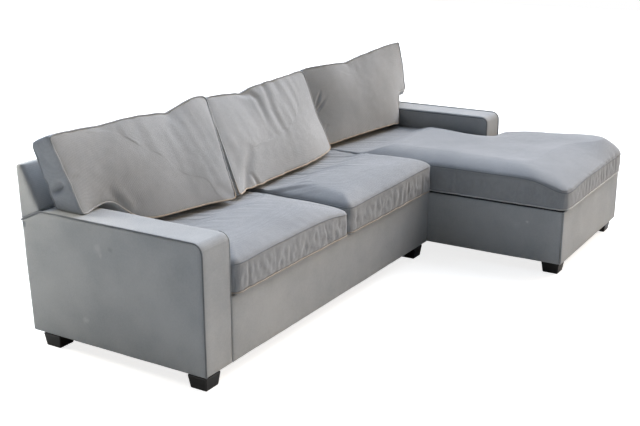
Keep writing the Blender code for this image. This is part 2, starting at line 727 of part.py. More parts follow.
def back_section(v, w, rise):
    """A back cushion's side view: v from its front to its rear, w from its seam below to its top"""
    share = (w + 1) / 2
    low_z = SEAT_CROWN_Z + FIT
    front = Vector((BACK_FRONT_LOW_Y, low_z)).lerp(
        Vector((BACK_FRONT_TOP_Y, BACK_FRONT_TOP_Z + rise)), share)
    turn_z = BACK_Z - BACK_EDGE_RADIUS
    knee = Vector((back_front_y(low_z) - PILLOW_REST_GAP, low_z))
    turn = Vector((back_front_y(turn_z) - PILLOW_REST_GAP, turn_z))
    top = Vector((BACK_REAR_TOP_Y, BACK_REAR_TOP_Z + rise))
    if share < BACK_TURN_SHARE:
        rear = knee.lerp(turn, share / BACK_TURN_SHARE)
    else:
        rear = turn.lerp(top, (share - BACK_TURN_SHARE) / (1 - BACK_TURN_SHARE))
    return front.lerp(rear, (v + 1) / 2)


def back_cushion(name, bottom, top, rise=0.0, arm_edge=None):
    """A leaning, swollen back cushion; one that overhangs an arm steps up on to it"""
    shape = soft_cage((CUSHION_CUT_SHARES, THICKNESS_CUT_SHARES, BACK_CUT_SHARES))
    for vertex in shape.verts:
        u, v, w = vertex.co
        y, z = back_section(v, w, rise)
        share = (w + 1) / 2
        left = bottom[0] + (top[0] - bottom[0]) * share
        right = bottom[1] + (top[1] - bottom[1]) * share
        x = left + (right - left) * (u + 1) / 2
        swell = (1 - u ** 4) * (1 - w ** 4)
        if v < 0:
            y += BACK_CUSHION_SWELL * (REST_SWELL_SHARE - swell)
        vertex.co = (x, y, z)
    mesh = smooth_shape(shape)
    node = add_mesh(name, mesh, FABRIC)
    if arm_edge:
        clear_the_arm(node, *arm_edge)
    return node


def clear_the_arm(node, low_x, high_x):
    """Take away what the arm's top corner presses out of a cushion that overhangs it"""
    corner = box("arm_corner", (low_x, -SOFA_DEPTH, BASE_Z), (high_x, SOFA_DEPTH, ARM_Z + FIT), FABRIC)
    cut(node, corner)


def make_back_cushions():
    reach = TOTAL_WIDTH - CHAISE_PILLOW_MARGIN
    shift = PILLOW_BOTTOM_SHIFT
    back_cushion("back_cushion_left", (LEFT_PILLOW_START, LEFT_PILLOW_END - shift),
                 (LEFT_PILLOW_START, LEFT_PILLOW_END), 0.0,
                 (-CUT_OVERRUN, ARM_WIDTH + CUSHION_GAP))
    back_cushion("back_cushion_middle", (MIDDLE_PILLOW_START - shift, MIDDLE_PILLOW_END),
                 (MIDDLE_PILLOW_START, MIDDLE_PILLOW_END))
    back_cushion("chaise_back_cushion", (CHAISE_X + CUSHION_GAP, reach), (CHAISE_X + CUSHION_GAP, reach),
                 CHAISE_PILLOW_RISE, (CHAISE_ARM_X - CUSHION_GAP, TOTAL_WIDTH + CUT_OVERRUN))


def both_sides(low, high):
    """A lane's left and right places, from its distances to the bed's middle"""
    return ((BED_CENTRE_X - high, BED_CENTRE_X - low), (BED_CENTRE_X + low, BED_CENTRE_X + high))


def tube_loop(name, z):
    """The closed tube round one section of the bed"""
    half = TUBE_X - TUBE_CORNER
    front = FOLD_FRONT_Y + FRAME_SETBACK + TUBE_CORNER
    rear = FOLD_FRONT_Y + SECTION_LENGTH - FRAME_SETBACK - TUBE_CORNER
    corners = (((half, rear), 0), ((-half, rear), 90), ((-half, front), 180), ((half, front), 270))
    points = []
    for (x, y), start in corners:
        points.extend(arc((BED_CENTRE_X + x, y), TUBE_CORNER, start, start + 90, CORNER_STEPS))
    curve = bpy.data.curves.new(name, "CURVE")
    curve.dimensions = "3D"
    curve.bevel_depth = TUBE_RADIUS
    curve.bevel_resolution = 2
    spline = curve.splines.new("POLY")
    spline.points.add(len(points) - 1)
    for point, (x, y) in zip(spline.points, points):
        point.co = (x, y, z, 1)
    spline.use_cyclic_u = True
    return add_mesh(name, mesh_from_curve(curve), STEEL)


def add_cross_bars(frame, z, up):
    """Bars from front to rear that carry the deck; up is 1, or -1 in a section lying face down"""
    drop = TUBE_RADIUS - WEB_SHEET - FIT - CROSS_BAR_RADIUS
    bar_z = z + up * drop
    front = FOLD_FRONT_Y + FRAME_SETBACK
    rear = FOLD_FRONT_Y + SECTION_LENGTH - FRAME_SETBACK
    for number in range(1, CROSS_BAR_COUNT + 1):
        x = BED_CENTRE_X - TUBE_X + 2 * TUBE_X * number / (CROSS_BAR_COUNT + 1)
        shape = bmesh.new()
        turn = Matrix.Rotation(math.radians(90), 4, "X")
        place = Matrix.Translation((x, (front + rear) / 2, bar_z))
        bmesh.ops.create_cone(shape, cap_ends=True, segments=CROSS_BAR_SIDES, radius1=CROSS_BAR_RADIUS,
                              radius2=CROSS_BAR_RADIUS, depth=rear - front, matrix=place @ turn)
        join(frame, add_mesh("bar", mesh_from(shape), STEEL))


def add_hinge_plates(frame, pivot, plane_z, into, lane, stud):
    """Plates from the side tubes to a pivot; into is 1 where the section lies behind the pivot"""
    y, z = pivot
    half = PLATE_HEIGHT / 2
    end_y = y + into * PLATE_LENGTH
    rise = 1 if z > plane_z else -1
    edge = plane_z - rise * half
    outline = [(end_y, edge), (end_y, plane_z + rise * half),
               (y + into * PLATE_NECK, plane_z + rise * half),
               (y + into * HINGE_EYE, z + rise * HINGE_EYE), (y - into * HINGE_EYE, z + rise * HINGE_EYE),
               (y - into * HINGE_EYE, edge)]
    boss_y = y + into * (PLATE_LENGTH - BOSS_LENGTH)
    for (low, high), side in zip(both_sides(lane, lane + PLATE), (-1, 1)):
        join(frame, prism("plate", outline, low, high, STEEL))
        inner = BED_CENTRE_X + side * (TUBE_X + TUBE_RADIUS / 2)
        outer = BED_CENTRE_X + side * (lane + PLATE / 2)
        join(frame, box("boss", (min(inner, outer), min(boss_y, end_y - into * half), plane_z - half / 2),
                        (max(inner, outer), max(boss_y, end_y - into * half), plane_z + half / 2), STEEL))
        if stud:
            start = BED_CENTRE_X + side * (lane + PLATE / 2)
            end = BED_CENTRE_X + side * (lane + 2 * PLATE + 2 * PLATE_GAP)
            join(frame, rod_x("stud", pivot, STUD_RADIUS, min(start, end), max(start, end), STEEL))
        else:
            cut(frame, rod_x("hole", pivot, STUD_RADIUS + FIT, low - PLATE_GAP / 2, high + CUT_OVERRUN
                             if side > 0 else high + PLATE_GAP / 2, STEEL))


def add_studs(frame, places, radius, reach):
    """Studs from the side tubes outwards"""
    for y, z in places:
        for low, high in both_sides(TUBE_X + TUBE_RADIUS / 2, reach):
            join(frame, rod_x("stud", (y, z), radius, low, high, STEEL))


def make_deck_and_mattress(name, z, up):
    edge = TUBE_RADIUS + TUBE_CORNER / 3
    half = TUBE_X - edge
    front = FOLD_FRONT_Y + FRAME_SETBACK + edge
    rear = FOLD_FRONT_Y + SECTION_LENGTH - FRAME_SETBACK - edge
    levels = sorted((z + up * (TUBE_RADIUS - WEB_SHEET), z + up * TUBE_RADIUS))
    deck = box(f"{name}_deck", (BED_CENTRE_X - half, front, levels[0]),
               (BED_CENTRE_X + half, rear, levels[1]), WEBBING)
    levels = sorted((z + up * MATTRESS_LIFT, z + up * (MATTRESS_LIFT + MATTRESS)))
    gap = MATTRESS_GAP
    mattress = box(f"{name}_mattress",
                   (BED_CENTRE_X - BED_WIDTH / 2, FOLD_FRONT_Y + gap, levels[0]),
                   (BED_CENTRE_X + BED_WIDTH / 2, FOLD_FRONT_Y + SECTION_LENGTH - gap, levels[1]),
                   TICKING, MATTRESS_EDGE)
    return deck, mattress


def leg_pivots():
    """Where the folding legs hang: at the far ends of the middle and foot sections"""
    return ((REAR_PIVOT[0] - LEG_INSET, BODY_Z), (FOLD_FRONT_Y + LEG_INSET, FOOT_Z))


def make_bed_sections():
    body_leg, foot_leg = leg_pivots()
    head = tube_loop("head_frame", HEAD_Z)
    add_cross_bars(head, HEAD_Z, 1)
    add_hinge_plates(head, FRONT_PIVOT, HEAD_Z, 1, INNER_LANE, True)
    head_pins = [(y + LINK_RUN, HEAD_Z) for y in (LINK_FRONT_Y, LINK_REAR_Y)]
    add_studs(head, head_pins, LINK_STUD, LINK_LANE + LINK_PLATE + PLATE_GAP)
    body = tube_loop("body_frame", BODY_Z)
    add_cross_bars(body, BODY_Z, -1)
    add_hinge_plates(body, FRONT_PIVOT, BODY_Z, 1, OUTER_LANE, False)
    add_hinge_plates(body, REAR_PIVOT, BODY_Z, -1, INNER_LANE, True)
    add_studs(body, [body_leg], STUD_RADIUS, BODY_LEG_LANE + LEG_BAR + PLATE_GAP)
    foot = tube_loop("foot_frame", FOOT_Z)
    add_cross_bars(foot, FOOT_Z, 1)
    add_hinge_plates(foot, REAR_PIVOT, FOOT_Z, -1, OUTER_LANE, False)
    add_studs(foot, [foot_leg], STUD_RADIUS, FOOT_LEG_LANE + LEG_BAR + PLATE_GAP)
    head_axis = (BED_CENTRE_X, *head_pins[0])
    front_axis = (BED_CENTRE_X, *FRONT_PIVOT)
    rear_axis = (BED_CENTRE_X, *REAR_PIVOT)
    for name, frame, z, up, axis in (("head", head, HEAD_Z, 1, head_axis),
                                     ("body", body, BODY_Z, -1, front_axis),
                                     ("foot", foot, FOOT_Z, 1, rear_axis)):
        deck, mattress = make_deck_and_mattress(name, z, up)
        for piece in (frame, deck, mattress):
            hang_on_axis(piece, axis)


def make_legs():
    """Four flat legs that lie along their sections and swing down as the bed opens"""
    body_leg, foot_leg = leg_pivots()
    reach = LEG_LENGTH - LEG_WIDTH / 2
    plans = (("body", body_leg, -1, BODY_LEG_LANE), ("foot", foot_leg, 1, FOOT_LEG_LANE))
    for name, (y, z), way, lane in plans:
        outline = capsule((y, z), (y + way * reach, z), LEG_WIDTH / 2, LEG_WIDTH / 2)
        hole = circle((y, z), STUD_RADIUS + FIT)
        for side, (low, high) in zip(("left", "right"), both_sides(lane, lane + LEG_BAR)):
            leg = prism(f"{name}_leg_{side}", outline, low, high, STEEL, holes=[hole])
            hang_on_axis(leg, ((low + high) / 2, y, z))


def make_links():
    """The two pairs of lifting links; the rear pair's upper eyes are free round their studs"""
    for name, y in (("front", LINK_FRONT_Y), ("rear", LINK_REAR_Y)):
        anchor = (y, LINK_ANCHOR_Z)
        carried = (y + LINK_RUN, HEAD_Z)
        outline = capsule(anchor, carried, LINK_EYE, LINK_EYE)
        holes = [circle(centre, LINK_STUD + FIT) for centre in (anchor, carried)]
        lanes = both_sides(LINK_LANE, LINK_LANE + LINK_PLATE)
        for side, (low, high) in zip(("left", "right"), lanes):
            link = prism(f"{name}_link_{side}", outline, low, high, STEEL, holes=holes)
            hang_on_axis(link, ((low + high) / 2, *anchor))


def make_channels():
    """Steel channels fixed to the arm and the end panel, with a stud for each link"""
    low_z = LINK_ANCHOR_Z - CHANNEL_HEIGHT / 2
    high_z = LINK_ANCHOR_Z + CHANNEL_HEIGHT / 2
    wall = CHANNEL_WALL
    profile = [(CHANNEL_OUTER, low_z), (CHANNEL_OUTER, high_z), (CHANNEL_INNER, high_z),
               (CHANNEL_INNER, high_z - wall), (CHANNEL_OUTER - wall, high_z - wall),
               (CHANNEL_OUTER - wall, low_z + wall), (CHANNEL_INNER, low_z + wall), (CHANNEL_INNER, low_z)]
    for side, name in ((-1, "left_channel"), (1, "right_channel")):
        outline = [(BED_CENTRE_X + side * x, z) for x, z in profile]
        channel = prism(name, outline, CHANNEL_START_Y, CHANNEL_END_Y, STEEL, "Y")
        for y in (LINK_FRONT_Y, LINK_REAR_Y):
            ends = sorted((BED_CENTRE_X + side * (CHANNEL_OUTER - wall / 2),
                           BED_CENTRE_X + side * (LINK_LANE - PLATE_GAP)))
            join(channel, rod_x("stud", (y, LINK_ANCHOR_Z), LINK_STUD, *ends, STEEL))


def make_lift_bar():
    """The handle on the foot section's front tube"""
    seat_y = FOLD_FRONT_Y + FRAME_SETBACK - TUBE_RADIUS - FIT
    out_y = seat_y - LIFT_BAR_REACH
    top_z = FOOT_Z + LIFT_BAR_RISE
    half = LIFT_BAR_WIDTH / 2
    path = [(-half, seat_y, FOOT_Z), (-half, out_y, FOOT_Z), (-half, out_y, top_z),
            (half, out_y, top_z), (half, out_y, FOOT_Z), (half, seat_y, FOOT_Z)]
    curve = bpy.data.curves.new("lift_bar", "CURVE")
    curve.dimensions = "3D"
    curve.bevel_depth = LIFT_BAR_RADIUS
    curve.bevel_resolution = 2
    curve.use_fill_caps = True
    spline = curve.splines.new("POLY")
    spline.points.add(len(path) - 1)
    for point, (x, y, z) in zip(spline.points, path):
        point.co = (BED_CENTRE_X + x, y, z, 1)
    bar = add_mesh("lift_bar", mesh_from_curve(curve), STEEL)
    hang_on_axis(bar, (BED_CENTRE_X, *REAR_PIVOT))


def smooth_round_pieces():
    for node in SOFA.objects:
        node.data.shade_smooth()
        node.data.set_sharp_from_angle(angle=math.radians(35))


def build():
    make_arm("left", 0)
    make_arm("right", CHAISE_ARM_X)
    make_back("sleeper", ARM_WIDTH + FIT, SLEEPER_WIDTH, 0, SLEEPER_WIDTH, BACK_WINDOWS)
    make_back("chaise", CHAISE_X, CHAISE_ARM_X - FIT, CHAISE_X, TOTAL_WIDTH, CHAISE_BACK_WINDOWS)
    make_front_rail()
    make_end_panel()
    make_chaise_base()
    make_feet()
    make_clip("front", CLIP_FRONT_Y)
    make_clip("rear", CLIP_REAR_Y)
    make_seat_cushions()
    make_chaise_cushion()
    make_back_cushions()
    make_bed_sections()
    make_legs()
    make_links()
    make_channels()
    make_lift_bar()
    smooth_round_pieces()


build()
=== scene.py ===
"""Looks of the sleeper sectional sofa: upholstery, loose cushions, bed, light and camera.

Places are written in the sofa's own frame, in metres: x from the left arm's outer face, y from the
front of the arms towards the back, z from the floor. SOFA_SHIFT carries them to the shared frame.
"""
import json
import math

import bmesh
import bpy
from mathutils import Matrix, Vector, noise
from mathutils.bvhtree import BVHTree
from mathutils.kdtree import KDTree

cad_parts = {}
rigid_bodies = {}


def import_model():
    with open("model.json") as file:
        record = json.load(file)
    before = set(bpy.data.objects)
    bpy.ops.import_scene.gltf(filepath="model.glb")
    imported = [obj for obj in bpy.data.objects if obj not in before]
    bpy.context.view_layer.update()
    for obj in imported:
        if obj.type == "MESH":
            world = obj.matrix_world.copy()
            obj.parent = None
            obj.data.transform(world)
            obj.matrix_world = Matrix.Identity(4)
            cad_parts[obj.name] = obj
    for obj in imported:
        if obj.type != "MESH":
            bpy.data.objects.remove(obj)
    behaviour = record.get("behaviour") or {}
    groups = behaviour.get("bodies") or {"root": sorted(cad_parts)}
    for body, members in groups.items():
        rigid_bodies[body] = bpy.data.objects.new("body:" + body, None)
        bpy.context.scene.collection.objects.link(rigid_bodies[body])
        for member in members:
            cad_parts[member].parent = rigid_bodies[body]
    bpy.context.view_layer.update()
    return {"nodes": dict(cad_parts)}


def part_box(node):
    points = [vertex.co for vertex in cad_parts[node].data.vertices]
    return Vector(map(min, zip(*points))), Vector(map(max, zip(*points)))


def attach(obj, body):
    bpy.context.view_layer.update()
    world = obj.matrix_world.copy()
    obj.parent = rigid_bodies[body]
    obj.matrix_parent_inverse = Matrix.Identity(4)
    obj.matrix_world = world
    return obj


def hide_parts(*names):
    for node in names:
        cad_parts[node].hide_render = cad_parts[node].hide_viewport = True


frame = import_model()

# From the sofa's own frame to the shared one
SOFA_SHIFT = Vector((-1.4625, -0.098, 0))

# Main measures, as the solids have them
ARM_WIDTH = 0.178
SLEEPER_WIDTH = 1.9635
CHAISE_X = 1.9665
CHAISE_ARM_X = 2.747
TOTAL_WIDTH = 2.925
CHAISE_REACH = 0.745
KNEE_Y = 0.787
BACK_TOP_Y = 0.926
BASE_Z = 0.059
SEAT_DECK_Z = 0.342
CHAISE_DECK_Z = 0.337
BACK_KNEE_Z = 0.500
SEAM_REAR_Z = 0.556
ARM_Z = 0.608
BACK_Z = 0.796
ARM_CORNER = 0.040
SEAT_CROWN_Z = 0.500
SEAT_SPLIT_X = 1.0775
SEAM_HEIGHT = 0.133

# Spacing of the points on cushions, panels and backs
CUSHION_GRID = 0.009
PANEL_GRID = 0.028
BACK_GRID = 0.018

# Radii of the welts and of a sewn edge, and the angle in radians from which an edge is rounded
WELT = 0.0034
CUSHION_WELT = 0.0036
SEWN_EDGE = 0.006
SHARP = 0.5

# Stuffing: steps of the simulation, then for seats and back cushions the pressure inside and how far a
# point may move, and the rounds of smoothing after it
STUFFING_STEPS = 20
SEAT_PRESSURE, SEAT_SWELL = 3.0, 0.014
PILLOW_PRESSURE, PILLOW_SWELL = 3.2, 0.034
SMOOTHING = 12
FOOT_END_SMOOTHING = 70

# Width in metres of a band of the wave texture at a scale of 1
BAND = 0.314


# Numbers and colours

def place(x, y, z):
    return Vector((x, y, z)) + SOFA_SHIFT


def hex_colour(code):
    """An sRGB hex colour as linear red, green, blue and alpha"""
    parts = [int(code[i:i + 2], 16) / 255 for i in (1, 3, 5)]
    linear = [c / 12.92 if c <= 0.04045 else ((c + 0.055) / 1.055) ** 2.4 for c in parts]
    return (*linear, 1.0)


def smooth_step(low, high, value):
    share = min(max((value - low) / (high - low), 0), 1)
    return share * share * (3 - 2 * share)


def along(points, share):
    """The place at a share of the way across a row of points, on one smooth curve"""
    rows = [Vector(point) for point in points]
    knots = [(row.x - rows[0].x) / (rows[-1].x - rows[0].x) for row in rows]
    index = max(i for i in range(len(rows) - 1) if i == 0 or knots[i] <= share)

    def slope(i):
        low, high = max(i - 1, 0), min(i + 1, len(rows) - 1)
        return (rows[high] - rows[low]) / (knots[high] - knots[low])
    span = knots[index + 1] - knots[index]
    t = (share - knots[index]) / span
    return ((2 * t ** 3 - 3 * t ** 2 + 1) * rows[index] + (t ** 3 - 2 * t ** 2 + t) * span * slope(index)
            + (3 * t ** 2 - 2 * t ** 3) * rows[index + 1] + (t ** 3 - t ** 2) * span * slope(index + 1))


# Materials

def new_material(name):
    made = bpy.data.materials.new(name)
    made.use_nodes = True
    return made, made.node_tree, made.node_tree.nodes["Principled BSDF"]


def add_node(tree, kind, inputs=None, **settings):
    """A node with its settings; an input takes a value, or another node's output"""
    node = tree.nodes.new(kind)
    for key, value in settings.items():
        setattr(node, key, value)
    for key, value in (inputs or {}).items():
        if isinstance(value, bpy.types.NodeSocket):
            tree.links.new(value, node.inputs[key])
        else:
            node.inputs[key].default_value = value
    return node


def colour_between(tree, factor, low, high, start=0.0, end=1.0):
    ramp = add_node(tree, "ShaderNodeValToRGB", {"Fac": factor})
    ramp.color_ramp.elements[0].position = start
    ramp.color_ramp.elements[1].position = end
    ramp.color_ramp.elements[0].color = hex_colour(low)
    ramp.color_ramp.elements[1].color = hex_colour(high)
    return ramp.outputs["Color"]


def finish_surface(tree, shader, colour, height, strength, distance, roughness):
    """Give a shader its colour, a relief from a height and its roughness"""
    tree.links.new(colour, shader.inputs["Base Color"])
    bump = add_node(tree, "ShaderNodeBump", {"Height": height, "Strength": strength, "Distance": distance})
    tree.links.new(bump.outputs["Normal"], shader.inputs["Normal"])
    shader.inputs["Roughness"].default_value = roughness


def woven_threads(tree, spacing):
    """Threads over and under each other along all three axes, with a spacing in metres"""
    coordinates = add_node(tree, "ShaderNodeTexCoord").outputs["Object"]
    bands = []
    for axis in "XYZ":
        wave = add_node(tree, "ShaderNodeTexWave",
                        {"Vector": coordinates, "Scale": BAND / spacing, "Distortion": 0.8,
                         "Detail": 1.0, "Detail Scale": 2.0},
                        bands_direction=axis)
        bands.append(wave.outputs["Fac"])
    first = add_node(tree, "ShaderNodeMath", {0: bands[0], 1: bands[1]}, operation="ADD")
    return add_node(tree, "ShaderNodeMath", {0: first.outputs[0], 1: bands[2]},
                    operation="ADD").outputs[0]


# Rubbed spots of wear on the panels, and spots of painted shade on the left arm's outer panel: a place, its
# reach in metres and how strongly it shows
WORN_SPOTS = (((0, .620, .173), .020, .40), ((0, .529, .500), .024, .30), ((0, .515, .475), .014, .28),
              ((1.9665, -.556, .260), .010, .75), ((1.9665, -.500, .235), .030, .16))
PAINTED_SHADE_SPOTS = (((0, .459, .508), .016, .30), ((0, .150, .420), .110, .16), ((0, .100, .500), .070, .14))


def spot_at(tree, coordinates, centre, reach):
    """1 at a place in the sofa's frame, falling to 0 at a reach in metres, with a ragged border"""
    ragged = add_node(tree, "ShaderNodeTexNoise", {"Vector": coordinates, "Scale": 70.0, "Detail": 2.0})
    distance = add_node(tree, "ShaderNodeVectorMath",
                        {0: coordinates, 1: tuple(place(*centre))}, operation="DISTANCE")
    pushed = add_node(tree, "ShaderNodeMath",
                      {0: ragged.outputs["Fac"], 1: reach, 2: distance.outputs["Value"]},
                      operation="MULTIPLY_ADD")
    return add_node(tree, "ShaderNodeMapRange", {"Value": pushed.outputs[0], "From Min": 1.5 * reach,
                                                 "From Max": 0.5 * reach}).outputs["Result"]


def blended(tree, factor, strength, under, over):
    """A colour with another over it, by a factor times a strength"""
    weight = add_node(tree, "ShaderNodeMath", {0: factor, 1: strength}, operation="MULTIPLY")
    mix = add_node(tree, "ShaderNodeMix", data_type="RGBA")
    tree.links.new(weight.outputs[0], mix.inputs[0])
    tree.links.new(under, mix.inputs[6])
    mix.inputs[7].default_value = hex_colour(over)
    return mix.outputs[2]


def cloth(name, pale, deep, spacing=0.0032, fuzz=0.25, depth=0.35, bands=(), wear_and_painted_shade=False):
    """Woven polyester: dull, slightly hairy thread that scatters light at its edges.

    The real threads are about 0.6 mm apart and would not show, so they are drawn 3 mm apart.
    """
    made, tree, shader = new_material(name)
    coordinates = add_node(tree, "ShaderNodeTexCoord").outputs["Object"]
    threads = woven_threads(tree, spacing)
    faded = add_node(tree, "ShaderNodeTexNoise",
                     {"Vector": coordinates, "Scale": 2.6, "Detail": 5.0, "Roughness": 0.6})
    slub = add_node(tree, "ShaderNodeTexNoise",
                    {"Vector": coordinates, "Scale": 130.0, "Detail": 3.0, "Roughness": 0.7})
    patch = add_node(tree, "ShaderNodeMath", {0: slub.outputs["Fac"], 1: 0.35, 2: faded.outputs["Fac"]},
                     operation="MULTIPLY_ADD")
    mixed = add_node(tree, "ShaderNodeMath", {0: threads, 1: 0.08, 2: patch.outputs[0]},
                     operation="MULTIPLY_ADD")
    colour = colour_between(tree, mixed.outputs[0], deep, pale, 0.525, 1.075)
    # A band tints the cloth by height; the front welts' bands are painted warm light low down and painted
    # shade high up
    for start, end, tint in bands:
        height = add_node(tree, "ShaderNodeSeparateXYZ", {"Vector": coordinates}).outputs["Z"]
        share = add_node(tree, "ShaderNodeMapRange", {"Value": height, "From Min": start, "From Max": end})
        colour = blended(tree, share.outputs["Result"], 1.0, colour, tint)
    if wear_and_painted_shade:
        # The rubbed spots lighten the cloth as wear; the others darken it with painted shade
        for spots, tint in ((WORN_SPOTS, "#E4E6E4"), (PAINTED_SHADE_SPOTS, "#5F666D")):
            for centre, reach, strength in spots:
                colour = blended(tree, spot_at(tree, coordinates, centre, reach), strength, colour, tint)
    height = add_node(tree, "ShaderNodeMath", {0: slub.outputs["Fac"], 1: 0.9, 2: threads},
                      operation="MULTIPLY_ADD")
    finish_surface(tree, shader, colour, height.outputs[0], depth, 0.0006, 0.88)
    shader.inputs["Sheen Weight"].default_value = fuzz
    shader.inputs["Sheen Roughness"].default_value = 0.45
    shader.inputs["Specular IOR Level"].default_value = 0.25
    return made


def lacquered_wood(name, black, bare):
    """Beech sprayed with black lacquer: smooth, half gloss, rubbed thin at a few places"""
    made, tree, shader = new_material(name)
    coordinates = add_node(tree, "ShaderNodeTexCoord").outputs["Object"]
    grain = add_node(tree, "ShaderNodeTexNoise",
                     {"Vector": coordinates, "Scale": 60.0, "Detail": 6.0, "Distortion": 1.5})
    colour = colour_between(tree, grain.outputs["Fac"], black, bare, 0.55, 0.95)
    finish_surface(tree, shader, colour, grain.outputs["Fac"], 0.25, 0.0004, 0.38)
    return made


def sawn_timber(name):
    """Planed spruce for hidden frames: pale, dull, with long grain"""
    made, tree, shader = new_material(name)
    coordinates = add_node(tree, "ShaderNodeTexCoord").outputs["Object"]
    turned = add_node(tree, "ShaderNodeMapping", {"Vector": coordinates, "Scale": (2.0, 30.0, 30.0)})
    grain = add_node(tree, "ShaderNodeTexNoise",
                     {"Vector": turned.outputs[0], "Scale": 2.0, "Detail": 8.0, "Distortion": 1.2})
    colour = colour_between(tree, grain.outputs["Fac"], "#A98656", "#D9BC8C", 0.3, 0.7)
    finish_surface(tree, shader, colour, grain.outputs["Fac"], 0.3, 0.0005, 0.68)
    return made


def metal(name, pale, deep, metallic, roughness, grain_scale):
    """Rolled steel under a thin coat: fine orange peel, a few worn places"""
    made, tree, shader = new_material(name)
    coordinates = add_node(tree, "ShaderNodeTexCoord").outputs["Object"]
    peel = add_node(tree, "ShaderNodeTexNoise",
                    {"Vector": coordinates, "Scale": grain_scale, "Detail": 4.0})
    colour = colour_between(tree, peel.outputs["Fac"], deep, pale, 0.35, 0.7)
    finish_surface(tree, shader, colour, peel.outputs["Fac"], 0.15, 0.0003, roughness)
    shader.inputs["Metallic"].default_value = metallic
    return made


def ticking(name):
    """Cotton ticking: cream twill with thin grey stripes 25 mm apart"""
    made, tree, shader = new_material(name)
    coordinates = add_node(tree, "ShaderNodeTexCoord").outputs["Object"]
    stripes = add_node(tree, "ShaderNodeTexWave",
                       {"Vector": coordinates, "Scale": BAND / 0.025}, bands_direction="X")
    colour = colour_between(tree, stripes.outputs["Fac"], "#B9BCBE", "#E6E1D4", 0.04, 0.12)
    finish_surface(tree, shader, colour, woven_threads(tree, 0.002), 0.3, 0.0004, 0.85)
    shader.inputs["Sheen Weight"].default_value = 0.15
    return made


# The panels' cloth carries the rubbed spots of wear and the spots of painted shade
UPHOLSTERY = cloth("woven_polyester_panels", "#BABDBE", "#9BA0A4", wear_and_painted_shade=True)
PILLOW_CLOTH = cloth("woven_polyester_back_cushions", "#BDC0C2", "#A2A6A9")
# The seat cushions use a darker copy of the same cloth: the darkening is painted shade on the cushions
SEAT_CLOTH_PAINTED_SHADE = cloth("woven_polyester_seat_cushions_painted_shade", "#A7AAAD", "#8E9296")
# The welts are of the panel cloth; this darker copy is painted shade, standing for the shadow line beside a
# welt
SHADOW_LINE_WELT = cloth("woven_polyester_welt_painted_shadow", "#85898C", "#6E7377", 0.0022)
# A darker copy of the welt cloth for the seats' top welts: painted shade
TOP_WELT_PAINTED_SHADE = cloth("woven_polyester_top_welt_painted_shade", "#8F9396", "#787D81", 0.0022)
# A warm tan copy of the welt cloth for the seats' lower welts: painted warm light
WELT_PAINTED_WARM_LIGHT = cloth("welt_in_painted_warm_light", "#BFB7AD", "#A9A198", 0.0022)
# The back cushions' front welts: a pale copy of the welt cloth as a painted highlight, with painted warm
# light towards the bottom and painted shade towards the top
FRONT_WELT_PAINTED_LIGHT = cloth("woven_polyester_front_welt_painted_light", "#CFD1D1", "#BABDBE", 0.0022,
                  bands=((0.60, 0.54, "#C7B9A6"), (0.88, 0.91, "#A2A6A9")))
# A pale copy of the welt cloth for the chaise cushion's lower welt: a painted highlight against its shaded
# side
CHAISE_WELT_PAINTED_HIGHLIGHT = cloth("woven_polyester_chaise_welt_painted_highlight", "#DCDEDE", "#C8CACA", 0.0022)
GREY_WELT = cloth("woven_polyester_pale_welt", "#B4B7B9", "#9DA1A5", 0.0022)
FOOT_LACQUER = lacquered_wood("black_lacquered_beech", "#0B0B0C", "#191716")
TIMBER = sawn_timber("planed_spruce")
COATED_STEEL = metal("powder_coated_steel", "#2C2D30", "#1D1E20", 0.4, 0.45, 400.0)
ZINC = metal("zinc_plated_steel", "#B4B6B8", "#8C8F93", 1.0, 0.34, 220.0)
TICKING = ticking("striped_cotton_ticking")
WEBBING = cloth("woven_polypropylene_deck", "#4A4C50", "#303236", 0.006, 0.05, 0.6)
DUST_CLOTH = cloth("spunbond_dust_cloth", "#26272A", "#17181A", 0.004, 0.05, 0.4)


# Meshes

def mesh_object(name, shape, material, smooth=True):
    """An object from a bmesh, which is freed, with its place in its mesh"""
    mesh = bpy.data.meshes.new(name)
    shape.to_mesh(mesh)
    shape.free()
    return object_from(name, mesh, material, smooth)


def object_from(name, mesh, material, smooth=True):
    mesh.name = name
    mesh.materials.clear()
    mesh.materials.append(material)
    made = bpy.data.objects.new(name, mesh)
    bpy.context.scene.collection.objects.link(made)
    if smooth:
        mesh.shade_smooth()
    return made


def apply_modifiers(piece):
    bpy.context.view_layer.update()
    evaluated = piece.evaluated_get(bpy.context.evaluated_depsgraph_get())
    mesh = bpy.data.meshes.new_from_object(evaluated)
    old = piece.data
    piece.modifiers.clear()
    piece.data = mesh
    mesh.name = old.name
    bpy.data.meshes.remove(old)


def voxel_remesh(piece, size):
    remesh = piece.modifiers.new("voxels", "REMESH")
    remesh.mode = "VOXEL"
    remesh.voxel_size = size
    apply_modifiers(piece)


def subdivide_once(piece):
    rounding = piece.modifiers.new("soften", "SUBSURF")
    rounding.levels = 1
    rounding.render_levels = 1
    apply_modifiers(piece)
    piece.data.shade_smooth()


def relax(piece, rounds, group=""):
    smooth = piece.modifiers.new("relax", "SMOOTH")
    smooth.factor = 0.5
    smooth.iterations = rounds
    smooth.vertex_group = group
    apply_modifiers(piece)


def move_each(piece, rule):
    """Move each point to what a rule gives for its place in the sofa's frame and its normal"""
    mesh = piece.data
    normals = [vertex.normal.copy() for vertex in mesh.vertices]
    for vertex, normal in zip(mesh.vertices, normals):
        vertex.co = rule(vertex.co - SOFA_SHIFT, normal) + SOFA_SHIFT
    mesh.update()


